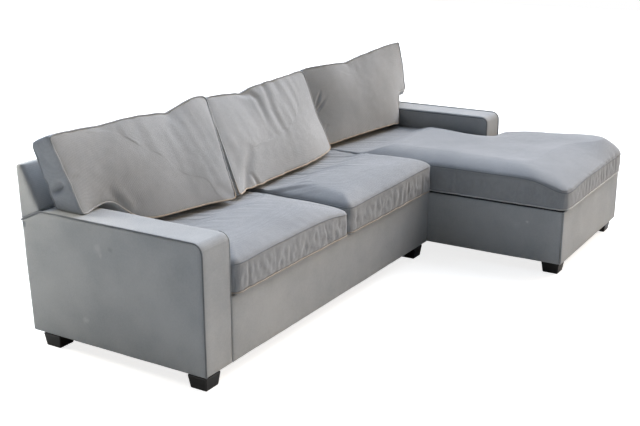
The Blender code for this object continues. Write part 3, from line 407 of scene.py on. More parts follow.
def cut_grid(shape, spacing):
    """Cut a shape by planes across all three axes, so that it can be bent"""
    for axis in range(3):
        places = [vertex.co[axis] for vertex in shape.verts]
        low, high = min(places), max(places)
        count = int((high - low) / spacing)
        normal = [0, 0, 0]
        normal[axis] = 1
        for step in range(1, count):
            point = [0, 0, 0]
            point[axis] = low + (high - low) * step / count
            everything = [*shape.verts, *shape.edges, *shape.faces]
            bmesh.ops.bisect_plane(shape, geom=everything, dist=1e-5, plane_co=point, plane_no=normal)


def bevel_sharp(shape, width, segments=3):
    edges = [edge for edge in shape.edges if edge.is_manifold and edge.calc_face_angle(0) > SHARP]
    bmesh.ops.bevel(shape, geom=edges, offset=width, segments=segments, profile=0.5,
                    affect="EDGES", material=-1, clamp_overlap=True)


def tube(name, points, radius, material, closed=False):
    """A round cord along a row of points, as a closed mesh"""
    curve = bpy.data.curves.new(name, "CURVE")
    curve.dimensions = "3D"
    curve.bevel_depth = radius
    curve.bevel_resolution = 2
    curve.use_fill_caps = not closed
    spline = curve.splines.new("POLY")
    spline.points.add(len(points) - 1)
    for point, where in zip(spline.points, points):
        point.co = (*where, 1)
    spline.use_cyclic_u = closed
    drawn = bpy.data.objects.new(name, curve)
    bpy.context.scene.collection.objects.link(drawn)
    bpy.context.view_layer.update()
    mesh = bpy.data.meshes.new_from_object(drawn.evaluated_get(bpy.context.evaluated_depsgraph_get()))
    bpy.data.objects.remove(drawn, do_unlink=True)
    return object_from(name, mesh, material)


def evenly(points, spacing, closed=False):
    """The same path with a point at each spacing"""
    rows = [Vector(point) for point in points]
    if closed:
        rows.append(rows[0])
    result = []
    carried = 0.0
    for start, end in zip(rows, rows[1:]):
        length = (end - start).length
        while carried < length:
            result.append(start.lerp(end, carried / length))
            carried += spacing
        carried -= length
    if not closed:
        result.append(rows[-1])
    return result


def point_tree(points):
    """The points in a tree that finds the nearest one"""
    tree = KDTree(len(points))
    for index, point in enumerate(points):
        tree.insert(point, index)
    tree.balance()
    return tree


def softened(points, rounds, closed):
    rows = [Vector(point) for point in points]
    for _ in range(rounds):
        count = len(rows)
        rows = [row if not closed and i in (0, count - 1)
                else 0.25 * rows[i - 1] + 0.5 * row + 0.25 * rows[(i + 1) % count]
                for i, row in enumerate(rows)]
    return rows


def finish_piece(piece, body):
    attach(piece, body)
    return piece


def box_corners(node):
    return (Vector(corner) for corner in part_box(node))


def block(low, high):
    """A block between two corners"""
    shape = bmesh.new()
    bmesh.ops.create_cube(shape, size=1)
    bmesh.ops.scale(shape, vec=high - low, verts=shape.verts)
    bmesh.ops.translate(shape, vec=(low + high) / 2, verts=shape.verts)
    return shape


# Upholstered frames

def outside_of(node):
    """A copy of a CAD cover with the inner wall taken out and the mouth closed"""
    shape = bmesh.new()
    shape.from_mesh(frame["nodes"][node].data)
    bmesh.ops.remove_doubles(shape, verts=shape.verts, dist=1e-5)
    lowest = min(vertex.co.z for vertex in shape.verts)
    rim = [face for face in shape.faces
           if face.normal.z < -0.9 and abs(face.calc_center_median().z - lowest) < 1e-4]
    bmesh.ops.delete(shape, geom=rim, context="FACES")
    corner = min(shape.verts, key=lambda vertex: (vertex.co.x, vertex.co.z))
    kept = {corner}
    border = [corner]
    while border:
        vertex = border.pop()
        for edge in vertex.link_edges:
            other = edge.other_vert(vertex)
            if other not in kept:
                kept.add(other)
                border.append(other)
    bmesh.ops.delete(shape, geom=[v for v in shape.verts if v not in kept], context="VERTS")
    mouth = [edge for edge in shape.edges if edge.is_boundary]
    bmesh.ops.contextual_create(shape, geom=mouth)
    bmesh.ops.dissolve_limit(shape, angle_limit=0.01, verts=shape.verts, edges=shape.edges)
    bmesh.ops.recalc_face_normals(shape, faces=shape.faces)
    return shape


def stretched_cloth(place_there, normal):
    """Cloth over padding: long soft waves with faint drag lines"""
    here = place_there * 4.2
    swell = 0.0013 * noise.noise(here) + 0.0006 * noise.noise(place_there * 13)
    drag = 0.00035 * noise.noise(Vector((here.x * 2, here.y * 2, here.z * 9)))
    return place_there + normal * (swell + drag - 0.0006)


def soft_wing(here, normal):
    """Cloth over padding, with the outer front edge of a back's wing rounded 24 mm"""
    there = stretched_cloth(here, normal)
    if here.z < ARM_Z + 0.004:
        return there
    radius = 0.024 * smooth_step(ARM_Z, ARM_Z + 0.03, here.z)
    inward = there.x if there.x < 1 else TOTAL_WIDTH - there.x
    behind = there.y - back_front_y(there.z)
    if radius > 0 and inward < radius and behind < radius:
        away = math.hypot(inward - radius, behind - radius)
        if away > radius:
            moved_in = radius + (inward - radius) * radius / away
            there.y += radius + (behind - radius) * radius / away - behind
            there.x = moved_in if there.x < 1 else TOTAL_WIDTH - moved_in
    return there


def upholstered(name, node, grid=PANEL_GRID, edge=SEWN_EDGE, rule=stretched_cloth):
    shape = outside_of(node)
    bevel_sharp(shape, edge)
    cut_grid(shape, grid)
    piece = mesh_object(name, shape, UPHOLSTERY)
    piece.data.set_sharp_from_angle(angle=math.radians(60))
    move_each(piece, rule)
    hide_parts(node)
    return finish_piece(piece, "sofa_base")


def panel(name, node, edge=0.004):
    """A flat upholstered board, padded a little"""
    low, high = box_corners(node)
    shape = block(low, high)
    bevel_sharp(shape, min(edge, min(high - low) * 0.45))
    cut_grid(shape, PANEL_GRID)
    piece = mesh_object(name, shape, UPHOLSTERY)
    move_each(piece, stretched_cloth)
    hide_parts(node)
    return finish_piece(piece, "sofa_base")


def back_front_y(z):
    return KNEE_Y + (BACK_TOP_Y - KNEE_Y) * (z - BACK_KNEE_Z) / (BACK_Z - BACK_KNEE_Z)


def rear_y(z):
    return 0.938 + 0.023 * (z - BASE_Z) / (BACK_Z - 0.014 - BASE_Z)


def arm_panel_path(x, top=ARM_Z, turn=ARM_CORNER, front=0.0):
    """The sewn line round an arm's side panel, from the rear seam to the floor's edge"""
    points = [(x, rear_y(SEAM_REAR_Z), SEAM_REAR_Z), (x, back_front_y(ARM_Z), top),
              (x, front + turn + 0.01, top)]
    for step in range(9):
        angle = math.radians(90 + 90 * step / 8)
        points.append((x, front + turn * (1 + math.cos(angle)), top - turn * (1 - math.sin(angle))))
    points.append((x, front, BASE_Z + 0.004))
    return [place(*point) for point in points]


def sewn_welt(name, points, material=SHADOW_LINE_WELT, radius=WELT):
    path = softened(evenly(points, 0.012), 1, False)
    welt = tube(name, path, radius, material)
    return finish_piece(welt, "sofa_base")


def dress_frames():
    for side in ("left", "right"):
        upholstered(f"{side}_arm_upholstery", f"{side}_arm_cover", edge=0.009)
    for module in ("sleeper", "chaise"):
        upholstered(f"{module}_back_upholstery", f"{module}_back_cover", BACK_GRID, 0.010, soft_wing)
    # The darker welts' colour is painted shade for the shadow lines beside them
    sewn_welt("left_arm_outer_welt", arm_panel_path(0.0015))
    sewn_welt("left_arm_inner_welt", arm_panel_path(ARM_WIDTH - 0.003)[2:], UPHOLSTERY, 0.0018)
    inner_path = arm_panel_path(CHAISE_ARM_X + 0.0005, ARM_Z - 0.010, 0.018, 0.004)
    sewn_welt("right_arm_inner_welt", inner_path[1:])
    sewn_welt("right_arm_outer_welt", arm_panel_path(TOTAL_WIDTH - 0.0015), UPHOLSTERY)
    for side, start, end in (("left", 0, ARM_WIDTH), ("right", CHAISE_ARM_X, TOTAL_WIDTH)):
        seam = [place(start, back_front_y(ARM_Z) - 0.002, ARM_Z + 0.001),
                place(end, back_front_y(ARM_Z) - 0.002, ARM_Z + 0.001)]
        sewn_welt(f"{side}_wing_seam", seam, SHADOW_LINE_WELT, 0.0022)


def dress_base():
    panel("front_rail_upholstery", "front_rail_cover", 0.007)
    panel("sleeper_end_upholstery", "sleeper_end_panel")
    for side in ("front", "left", "right"):
        panel(f"chaise_{side}_upholstery", f"chaise_{side}_cover", SEWN_EDGE)
    inward = 0.003
    for side, x in (("left", CHAISE_X + inward), ("right", TOTAL_WIDTH - inward)):
        corner = [place(x, inward - CHAISE_REACH, BASE_Z + 0.006),
                  place(x, inward - CHAISE_REACH, CHAISE_DECK_Z - 0.003)]
        sewn_welt(f"chaise_{side}_corner_seam", corner, UPHOLSTERY, 0.0045)


# Loose cushions

def plan_loop(corners, radius, heights):
    """A closed path round a plan with rounded corners, at heights given by a rule"""
    path = []
    count = len(corners)
    for i in range(count):
        before, here, after = (Vector((*corners[k % count], 0)) for k in (i - 1, i, i + 1))
        start = here + (before - here).normalized() * radius
        end = here + (after - here).normalized() * radius
        for step in range(7):
            t = step / 6
            path.append((1 - t) ** 2 * start + 2 * t * (1 - t) * here + t ** 2 * end)
    rows = evenly(path, 0.008, True)
    return [place(row.x, row.y, heights(row.x, row.y)) for row in rows]


def seam_lift(plan, bow, dips, x, y):
    """How far the top seam stands above its corners: it bows up between them and dips at some

    The chaise cushion's seam also sinks towards its foot end.
    """
    corner = min(math.hypot(x - a, y - b) for a, b in plan)
    lift = bow * smooth_step(0, 0.3, corner)
    for a, b, deep, wide in dips:
        lift -= deep * math.exp(-((x - a) ** 2 + (y - b) ** 2) / wide ** 2)
    foot_end_sag = 0.036 * smooth_step(-0.55, -0.757, y)
    return lift - foot_end_sag


def box_cushion_start(name, plan, turn, low_z, high_z, bow, dips, swells):
    """The cushion's filling before it is stuffed: its plan drawn up, full right from the seam"""
    outline = plan_loop(plan, turn, lambda x, y: low_z)
    shape = bmesh.new()
    ring = [shape.verts.new(point) for point in outline]
    shape.faces.new(ring)
    grown = bmesh.ops.extrude_face_region(shape, geom=list(shape.faces))
    top = [item for item in grown["geom"] if isinstance(item, bmesh.types.BMVert)]
    bmesh.ops.translate(shape, vec=(0, 0, high_z - low_z), verts=top)
    bmesh.ops.recalc_face_normals(shape, faces=shape.faces)
    piece = mesh_object(name, shape, SEAT_CLOTH_PAINTED_SHADE)
    voxel_remesh(piece, CUSHION_GRID)
    relax(piece, 2)
    seam = point_tree(outline)
    crown, shoulder = 0.034, 0.085

    def crowned(here, normal):
        nearest, _, reach = seam.find(Vector((here.x, here.y, low_z)) + SOFA_SHIFT)
        edge = 1 - min(reach / shoulder, 1)
        rise = crown + sum(tall * math.exp(-((here.x - a) ** 2 + (here.y - b) ** 2) / wide ** 2)
                           for a, b, tall, wide in swells)
        rise = rise * math.sqrt(max(1 - edge * edge, 0)) + 0.010 * smooth_step(0, 0.3, reach)
        height = smooth_step(low_z + 0.05, high_z, here.z)
        upward = (here.z - low_z) / (high_z - low_z)
        tuck = 0.013 * max(1 - reach / 0.034, 0) * max(1 - (here.z - low_z) / 0.008, 0)
        inward = here + SOFA_SHIFT - nearest
        inward = Vector((inward.x, inward.y, 0)) if reach > 0.004 else Vector((-normal.x, -normal.y, 0))
        lift = rise * height + upward * seam_lift(plan, bow, dips, here.x, here.y)
        return here + inward.normalized() * tuck + Vector((0, 0, lift))
    move_each(piece, crowned)
    return piece


def pinned_near(piece, loops, reach, held=None):
    """A group of the points that a seam holds, and of those that a rule holds"""
    group = piece.vertex_groups.new(name="sewn")
    seams = point_tree([point for loop in loops for point in loop])
    chosen = [vertex.index for vertex in piece.data.vertices
              if seams.find(vertex.co)[2] < reach or (held and held(vertex.co - SOFA_SHIFT))]
    group.add(chosen, 1.0, "REPLACE")


def add_stuffing(piece, pressure):
    stuffing = piece.modifiers.new("stuffing", "CLOTH")
    settings = stuffing.settings
    settings.quality = 5
    settings.mass = 0.25
    settings.tension_stiffness = 12
    settings.compression_stiffness = 8
    settings.shear_stiffness = 4
    settings.bending_stiffness = 0.4
    settings.use_pressure = True
    settings.uniform_pressure_force = pressure
    settings.effector_weights.gravity = 0
    settings.vertex_group_mass = "sewn"
    stuffing.point_cache.frame_start = 1
    stuffing.point_cache.frame_end = STUFFING_STEPS


def stuff(pieces, caps):
    """Swell all the cushions at once, then bring what each point moved by softly under its limit"""
    scene = bpy.context.scene
    starts = [[vertex.co.copy() for vertex in piece.data.vertices] for piece in pieces]
    for number in range(1, STUFFING_STEPS + 1):
        scene.frame_set(number)
    for piece, start, cap in zip(pieces, starts, caps):
        apply_modifiers(piece)
        for vertex, origin in zip(piece.data.vertices, start):
            moved = vertex.co - origin
            if moved.length > 0:
                vertex.co = origin + moved * (cap * math.tanh(moved.length / cap) / moved.length)
    scene.frame_set(1)


def crease_depth(here, creases):
    """How far sewn-in creases draw a place in, with a soft ridge beside each"""
    depth = 0.0
    for row, deep, wide in creases:
        nearest, share = 1.0, 0.0
        for index, (start, end) in enumerate(zip(row, row[1:])):
            a, b = Vector(start), Vector(end)
            run = b - a
            t = min(max((here - a).dot(run) / run.length_squared, 0), 1)
            away = (here - a - run * t).length
            if away < nearest:
                nearest, share = away, (index + t) / (len(row) - 1)
        if nearest < 4 * wide:
            fade = 1 - share * share
            depth -= deep * fade * math.exp(-(nearest / wide) ** 2)
            depth += 0.15 * deep * fade * math.exp(-((nearest - 2 * wide) / wide) ** 2)
    return depth


def pulled(here, pulls):
    """A place after nearby parts of the cushion have been pushed or pinched"""
    moved = Vector(here)
    for centre, shift, reach in pulls:
        near = (Vector(here) - Vector(centre)).length / reach
        moved += Vector(shift) * math.exp(-near ** 2)
    return moved


def puckers(length, share, strength, seed):
    """Gathers across a boxing strip: sharp creases 25 to 50 mm apart with soft swells between"""
    pitch = 0.034
    lean = (0.008 + 0.030 * noise.noise(Vector((length * 6, seed, 0.5)))) * (share - 0.5) * 2
    spot = (length + lean) / pitch
    crease = 0.0
    for index in range(math.floor(spot) - 1, math.floor(spot) + 2):
        shift = noise.cell(Vector((index + 0.5, seed, 0.5))) * 0.8
        deep = max(noise.cell(Vector((index + 0.5, seed, 7.5))) * 1.3 - 0.1, 0.0)
        away = (spot - index - shift) / 0.30
        crease += deep * math.exp(-away * away)
    wave = noise.noise(Vector((length / 0.03, 3.1 * share, 7.7 + seed)))
    full = math.sin(math.pi * min(max(share, 0.0), 1.0)) * (1.15 - 0.5 * share)
    return strength * (0.9 * wave - crease) * (0.2 + 0.8 * full)


def welt_on(name, piece, path, radius, material, body, lift=0.6):
    """A welt laid along the finished surface of a cushion, on the line of its seam"""
    surface = BVHTree.FromPolygons([vertex.co for vertex in piece.data.vertices],
                                   [tuple(face.vertices) for face in piece.data.polygons])
    laid = []
    for point in path:
        where, normal, _, _ = surface.find_nearest(point)
        laid.append(where + normal * radius * lift)
    laid = softened(laid, 3, True)
    welt = tube(name, laid, radius, material, True)
    return finish_piece(welt, body)


# The seat cushions in the making: piece, plan, lower and upper height, seams and body of each
SEATS = {}


def calm_foot_end(node):
    """Take the folds out of the top of the chaise cushion near its front, where it is stuffed tight"""
    piece, plan, _, high, _, _ = SEATS[node]
    group = piece.vertex_groups.new(name="foot_end")
    for vertex in piece.data.vertices:
        here = vertex.co - SOFA_SHIFT
        inside = min(here.x - plan[0][0], plan[1][0] - here.x, here.y - plan[0][1])
        share = smooth_step(0.006, 0.040, inside) * smooth_step(-0.20, -0.40, here.y)
        if here.z > high - 0.040 and share > 0:
            group.add([vertex.index], share, "REPLACE")
    relax(piece, FOOT_END_SMOOTHING, "foot_end")


def seat_plan(left, right, front, rear):
    return [(left, front), (right, front), (right, rear), (left, rear)]


def start_seats():
    """Start the three seat cushions; a dip or a swell is a place, a height and a reach"""
    left = ARM_WIDTH + 0.005
    middle = SEAT_SPLIT_X
    right = SLEEPER_WIDTH - 0.005
    rear = KNEE_Y - 0.014
    front = -0.020
    dips = [(middle, front, 0.016, 0.12), (middle, 0.18, 0.014, 0.16), (middle, 0.42, 0.014, 0.20),
            (middle, 0.64, 0.010, 0.17)]
    make_seat("seat_cushion_left", seat_plan(left, middle - 0.003, front, rear), 0.030, SEAT_DECK_Z,
              0.006, dips, "left_seat")
    dips = [(right, front, -0.016, 0.30), (right, 0.60, -0.012, 0.22), (middle, 0.66, -0.016, 0.24)]
    make_seat("seat_cushion_right", seat_plan(middle + 0.003, right, front, rear), 0.030, SEAT_DECK_Z,
              0.006, dips, "right_seat")
    front = -CHAISE_REACH - 0.012
    plan = [(CHAISE_X + 0.004, front), (TOTAL_WIDTH + 0.026, front),
            (TOTAL_WIDTH + 0.014, -0.016), (CHAISE_ARM_X - 0.006, -0.016),
            (CHAISE_ARM_X - 0.006, rear), (CHAISE_X + 0.004, rear)]
    make_seat("chaise_cushion", plan, 0.055, CHAISE_DECK_Z, 0.016,
              [(TOTAL_WIDTH + 0.02, -0.64, -0.022, 0.15)], "chaise_seat", [(2.87, -0.65, 0.034, 0.19)])


def make_seat(node, plan, turn, deck_z, bow, dips, body, swells=()):
    low = deck_z + 0.002
    high = deck_z + SEAM_HEIGHT
    piece = box_cushion_start(f"{node}_cover", plan, turn, low, high, bow, dips, swells)
    loops = [plan_loop(plan, turn, lambda x, y: low + 0.008),
             plan_loop(plan, turn, lambda x, y: high - 0.001 + seam_lift(plan, bow, dips, x, y))]
    pinned_near(piece, loops, 0.009, lambda here: here.z < low + 0.004)
    SEATS[node] = (piece, plan, low, high, loops, body)


# Back cushions: places along the upper and lower edges of the front and rear panels; then pulls, as a
# centre, a shift and a reach; and creases, as a line, a depth and a width
PILLOWS = {
    "back_cushion_left": {
        "body": "left_pillow",
        "front_top": [(-.004, .748, .940), (.17, .744, .933), (.35, .742, .930), (.50, .740, .927),
                      (.61, .740, .920), (.71, .742, .909), (.78, .742, .922), (.86, .741, .938),
                      (.93, .742, .946), (1.010, .744, .940)],
        "front_bottom": [(.050, .638, .608), (.110, .652, .615), (.193, .655, .629), (.235, .645, .618),
                         (.270, .625, .585), (.310, .597, .548), (.360, .568, .528), (.420, .546, .524),
                         (.549, .512, .526), (.694, .478, .526), (.780, .445, .524), (.818, .428, .521)],
        "rear_top": [(.014, .866, .894), (.12, .866, .876), (.30, .864, .852), (.72, .864, .838),
                     (1.010, .864, .852)],
        "rear_bottom": [(.052, .795, .612), (.110, .826, .612), (.193, .822, .612), (.240, .806, .600),
                        (.290, .790, .548), (.360, .778, .509), (.6, .776, .508), (.818, .776, .508)],
        "pulls": [((.035, .745, .722), (.026, .006, 0), .045),
                  ((.020, .720, .650), (-.006, -.004, -.004), .055)],
        "creases": [([(.018, .800, .690), (.035, .761, .712), (.055, .700, .755), (.090, .693, .762)],
                     .015, .013),
                    ([(.020, .790, .830), (.040, .740, .810)], .005, .018),
                    ([(.262, .600, .585), (.240, .622, .630), (.205, .637, .692)], .022, .020),
                    ([(.300, .590, .590), (.400, .560, .625)], .004, .024),
                    ([(.710, .742, .910), (.700, .720, .850)], .005, .024),
                    ([(.800, .450, .530), (.770, .500, .590)], .004, .022)],
    },
    "back_cushion_middle": {
        "body": "middle_pillow",
        "front_top": [(1.014, .746, .932), (1.16, .742, .922), (1.30, .741, .911), (1.37, .741, .924),
                      (1.48, .740, .931), (1.65, .742, .936), (1.82, .750, .942), (1.900, .757, .940)],
        "front_bottom": [(.864, .443, .521), (.942, .468, .521), (1.149, .488, .521), (1.353, .497, .521),
                         (1.573, .506, .521), (1.793, .537, .521), (1.903, .575, .521)],
        "rear_top": [(1.016, .864, .852), (1.31, .864, .838), (1.5, .864, .852), (1.905, .864, .860)],
        "rear_bottom": [(.866, .776, .508), (1.5, .776, .508), (1.925, .776, .508)],
        "pulls": [((1.900, .640, .720), (-.018, 0, 0), .080)],
        "creases": [([(1.289, .737, .914), (1.354, .724, .897), (1.376, .705, .873), (1.370, .675, .832),
                      (1.354, .634, .772), (1.324, .607, .730)], .0095, .021),
                    ([(1.477, .735, .911), (1.442, .652, .800), (1.443, .617, .747), (1.452, .587, .697),
                      (1.428, .565, .659)], .0085, .022),
                    ([(1.580, .742, .925), (1.560, .700, .850), (1.545, .660, .790)], .0035, .024),
                    ([(.965, .482, .530), (1.020, .519, .600), (1.090, .552, .655), (1.130, .575, .700)],
                     .0115, .024),
                    ([(1.056, .488, .535), (1.032, .515, .590)], .007, .014)],
    },
    "chaise_back_cushion": {
        "body": "chaise_pillow",
        "front_top": [(1.968, .808, .935), (2.05, .775, .940), (2.15, .750, .940), (2.33, .738, .930),
                      (2.42, .733, .940), (2.65, .715, .966), (2.85, .700, .984), (2.930, .690, .988)],
        "front_bottom": [(1.968, .630, .521), (2.08, .608, .530), (2.25, .588, .535), (2.45, .568, .535),
                         (2.62, .552, .532), (2.712, .566, .524), (2.740, .582, .562), (2.760, .593, .600),
                         (2.775, .606, .640), (2.805, .622, .685), (2.900, .650, .700)],
        "rear_top": [(1.970, .868, .866), (2.4, .866, .866), (2.905, .862, .880)],
        "rear_bottom": [(1.970, .776, .508), (2.3, .776, .508), (2.62, .776, .509), (2.722, .780, .522),
                        (2.750, .790, .590), (2.775, .800, .640), (2.810, .812, .652), (2.890, .822, .670)],
        "pulls": [((1.980, .700, .700), (0, .010, 0), .080), ((2.915, .690, .810), (.040, 0, 0), .110),
                  ((2.900, .715, .670), (.098, -.020, -.052), .060)],
        "creases": [([(1.970, .712, .722), (2.000, .716, .765), (2.040, .720, .815)], .014, .0085),
                    ([(1.978, .708, .710), (2.030, .708, .745), (2.085, .708, .788)], .013, .0085),
                    ([(1.975, .652, .605), (2.015, .652, .632)], .011, .0085),
                    ([(2.345, .740, .925), (2.360, .715, .860)], .004, .026),
                    ([(2.745, .600, .620), (2.700, .640, .700)], .004, .024)],
    },
}


def pillow_place(shape, u, v, w):
    """A place in a back cushion from shares across, from front to rear and up"""
    front = along(shape["front_bottom"], u).lerp(along(shape["front_top"], u), w)
    rear = along(shape["rear_bottom"], u).lerp(along(shape["rear_top"], u), w)
    return pulled(front.lerp(rear, v), shape["pulls"])


def pillow_loop(shape, v):
    """The sewn line round a cushion's front or rear panel"""
    corner = 0.022
    rows = []
    steps = 60
    for side in range(4):
        for step in range(steps):
            share = corner + (1 - 2 * corner) * step / (steps - 1)
            u, w = ((share, 0), (1, share), (1 - share, 1), (0, 1 - share))[side]
            rows.append(pillow_place(shape, u, v, w))
    return [point + SOFA_SHIFT for point in softened(evenly(rows, 0.008, True), 3, True)]


def start_pillow(node, shape):
    cage = bmesh.new()
    bmesh.ops.create_cube(cage, size=1)
    bmesh.ops.translate(cage, vec=(0.5, 0.5, 0.5), verts=cage.verts)
    cut_grid(cage, 1 / 24)
    for vertex in cage.verts:
        u, v, w = vertex.co
        here = pillow_place(shape, 1.012 * u - 0.006, v, 1.030 * w - 0.015)
        fullness = (1 - (2 * u - 1) ** 4) * (1 - (2 * w - 1) ** 4)
        here.y += (2 * v - 1) * 0.018 * fullness if v < 0.5 else (2 * v - 1) * 0.004 * fullness
        vertex.co = here + SOFA_SHIFT
    bmesh.ops.recalc_face_normals(cage, faces=cage.faces)
    piece = mesh_object(f"{node}_cover", cage, PILLOW_CLOTH)
    voxel_remesh(piece, CUSHION_GRID)
    relax(piece, 2)
    loops = [pillow_loop(shape, 0), pillow_loop(shape, 1)]
    pinned_near(piece, loops, 0.008)
    shape["piece"] = piece
    shape["loops"] = loops


def finish_seat(node):
    piece, plan, low, high, loops, body = SEATS[node]
    subdivide_once(piece)
    # The drag lines of the top run forwards and to the right
    slope = Vector((0.52, -0.85, 0))
    across = Vector((0.85, 0.52, 0))
    seed = plan[0][0]
    on_chaise = node == "chaise_cushion"

    def dressed(here, normal):
        share = (here.z - low) / (high - low)
        moved = 0.0
        if abs(normal.z) < 0.75 and share < 0.97:
            facing_front = abs(normal.y) > abs(normal.x)
            length = here.x if facing_front else here.y
            strength = 0.0045 + 0.0030 * smooth_step(0.15, 0.6, (here.x - plan[0][0]) / 0.9)
            strength *= 0.6 if on_chaise else 1.0
            moved = puckers(length, share, strength if facing_front else 0.0055, seed)
        elif normal.z > 0:
            streak = noise.noise(Vector((here.dot(slope) * 3.0, here.dot(across) * 30, seed)))
            fine = noise.noise(Vector((here.dot(slope) * 5.0, here.dot(across) * 56, seed + 3)))
            near_back = smooth_step(KNEE_Y - 0.66, KNEE_Y - 0.30, here.y)
            near_back *= 0.3 if on_chaise else 1.0
            moved = (0.0075 * streak + 0.0028 * fine) * near_back + 0.003 * noise.noise(here * 3.3)
        moved += 0.0005 * noise.noise(here * 24)
        pressed = smooth_step(0.28, 0.455, here.y)
        ceiling = SEAT_CROWN_Z - 0.001 + 0.04 * (1 - pressed)
        there = Vector((here.x, here.y, min(here.z, ceiling - 0.003))) + normal * moved
        there.z = min(max(there.z, low), ceiling + 0.005 * (1 - pressed))
        there.y = min(there.y, KNEE_Y - 0.002)
        return seat_limits(node, there)
    move_each(piece, dressed)
    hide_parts(node)
    finish_piece(piece, body)
    # The lower welts' colours are painted light: warm light on the seats' welts and a highlight on the
    # chaise's welt; the upper welts' darker colour is painted shade
    lower = CHAISE_WELT_PAINTED_HIGHLIGHT if on_chaise else WELT_PAINTED_WARM_LIGHT
    welt_on(f"{node}_lower_welt", piece, loops[0], CUSHION_WELT, lower, body, 0.9)
    welt_on(f"{node}_upper_welt", piece, loops[1], CUSHION_WELT * 0.7, TOP_WELT_PAINTED_SHADE, body)


def seat_limits(node, there):
    """Keep a seat cushion off the arms and off its neighbours"""
    middle = SEAT_SPLIT_X
    low, high = {"seat_cushion_left": (ARM_WIDTH + 0.001, middle - 0.0008),
                 "seat_cushion_right": (middle + 0.0008, SLEEPER_WIDTH + 0.0005),
                 "chaise_cushion": (SLEEPER_WIDTH + 0.0022, TOTAL_WIDTH + 0.045)}[node]
    if node == "chaise_cushion":
        low -= 0.009 * smooth_step(-0.020, -0.060, there.y)
        if there.y > -0.004:
            high = CHAISE_ARM_X - 0.002
    there.x = min(max(there.x, low), high)
    return there


def split_x(z):
    """Where the left and the middle back cushion press on each other, by height"""
    rows = ((.521, .841), (.614, .880), (.668, .898), (.733, .928), (.799, .956), (.863, .996),
            (.920, 1.012))
    for (low, start), (high, end) in zip(rows, rows[1:]):
        if z < high:
            return start + (end - start) * min(max((z - low) / (high - low), 0), 1)
    return rows[-1][1]


def finish_pillow(node, shape):
    piece = shape["piece"]
    subdivide_once(piece)
    body = shape["body"]
    creases = shape["creases"]
    low = SEAT_CROWN_Z + 0.0015

    def dressed(here, normal):
        moved = crease_depth(here, creases)
        moved += 0.0035 * noise.noise(Vector((here.x * 6, here.y * 3, here.z * 3.2)))
        moved += 0.0006 * noise.noise(here * 24)
        if normal.z > 0.5:
            moved += 0.0025 * noise.noise(Vector((here.x * 20, here.y * 6, 1.5)))
        if abs(normal.x) > 0.6:
            moved += 0.0035 * noise.noise(Vector((2.5, here.y * 9, here.z * 20)))
        there = here + normal * moved
        return pillow_limits(node, there, low)
    move_each(piece, dressed)
    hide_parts(node)
    finish_piece(piece, body)
    front, rear = shape["loops"]
    # The front welt's pale, warm and dark parts are painted light and shade
    welt_on(f"{node}_front_welt", piece, front, CUSHION_WELT, FRONT_WELT_PAINTED_LIGHT, body)
    welt_on(f"{node}_rear_welt", piece, rear, CUSHION_WELT, GREY_WELT, body)


def pillow_limits(node, there, low):
    """Keep a back cushion off the backs, the arms, the seats and its neighbours"""
    if there.z < BACK_Z + 0.02:
        there.y = min(there.y, back_front_y(min(max(there.z, BACK_KNEE_Z), BACK_Z)) - 0.0015)
    arm_top = ARM_Z + 0.0015
    if node == "back_cushion_left":
        if there.x < ARM_WIDTH + 0.004:
            there.z = max(there.z, arm_top)
        there.x = min(there.x, split_x(there.z) - 0.001)
    if node == "back_cushion_middle":
        there.x = min(max(there.x, split_x(there.z) + 0.001), 1.962)
    if node == "chaise_back_cushion":
        if there.x > CHAISE_ARM_X - 0.004:
            there.z = max(there.z, arm_top)
        there.x = max(there.x, 1.9665)
    there.z = max(there.z, low)
    return there


def dress_cushions():
    start_seats()
    for node, shape in PILLOWS.items():
        start_pillow(node, shape)
    seats = [entry[0] for entry in SEATS.values()]
    pillows = [shape["piece"] for shape in PILLOWS.values()]
    for piece in seats:
        add_stuffing(piece, SEAT_PRESSURE)
    for piece in pillows:
        add_stuffing(piece, PILLOW_PRESSURE)
    stuff(seats + pillows, [SEAT_SWELL] * len(seats) + [PILLOW_SWELL] * len(pillows))
    for piece in seats + pillows:
        relax(piece, SMOOTHING)
    calm_foot_end("chaise_cushion")
    for node in SEATS:
        finish_seat(node)
    for node, shape in PILLOWS.items():
        finish_pillow(node, shape)


# Bed

def quilted_mattress(part):
    """Foam in striped ticking, sewn through in diamonds 95 mm across, with a taped edge"""
    node = f"{part}_mattress"
    low, high = box_corners(node)
    trim = Vector((0.001, 0.001, 0.001))
    shape = block(low + trim, high - trim)
    bevel_sharp(shape, 0.020, 5)
    cut_grid(shape, 0.014)
    piece = mesh_object(node + "_quilt", shape, TICKING)
    middle = (low + high) / 2
    pitch = 0.095

    def quilted(here, normal):
        point = here + SOFA_SHIFT
        a = (point.x - middle.x + point.y - middle.y) / pitch
        b = (point.x - middle.x - point.y + middle.y) / pitch
        line = min(abs(a - round(a)), abs(b - round(b)))
        dip = 0.0045 * math.exp(-(line / 0.09) ** 2) if abs(normal.z) > 0.8 else 0.0
        return here - normal * (dip + 0.0006 + 0.0004 * noise.noise(here * 15))
    move_each(piece, quilted)
    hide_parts(node)
    finish_piece(piece, f"{part}_section")
    for label, z in (("upper", high.z - 0.011), ("lower", low.z + 0.011)):
        tape_loop(f"{part}_{label}_tape", low, high, z, f"{part}_section")


def tape_loop(name, low, high, z, body):
    inset, turn = 0.0025, 0.020
    corners = [(low.x + inset, low.y + inset), (high.x - inset, low.y + inset),
               (high.x - inset, high.y - inset), (low.x + inset, high.y - inset)]
    moved = [(x - SOFA_SHIFT.x, y - SOFA_SHIFT.y) for x, y in corners]
    path = plan_loop(moved, turn, lambda x, y: z)
    tape = tube(name, path, 0.0026, GREY_WELT, True)
    finish_piece(tape, body)


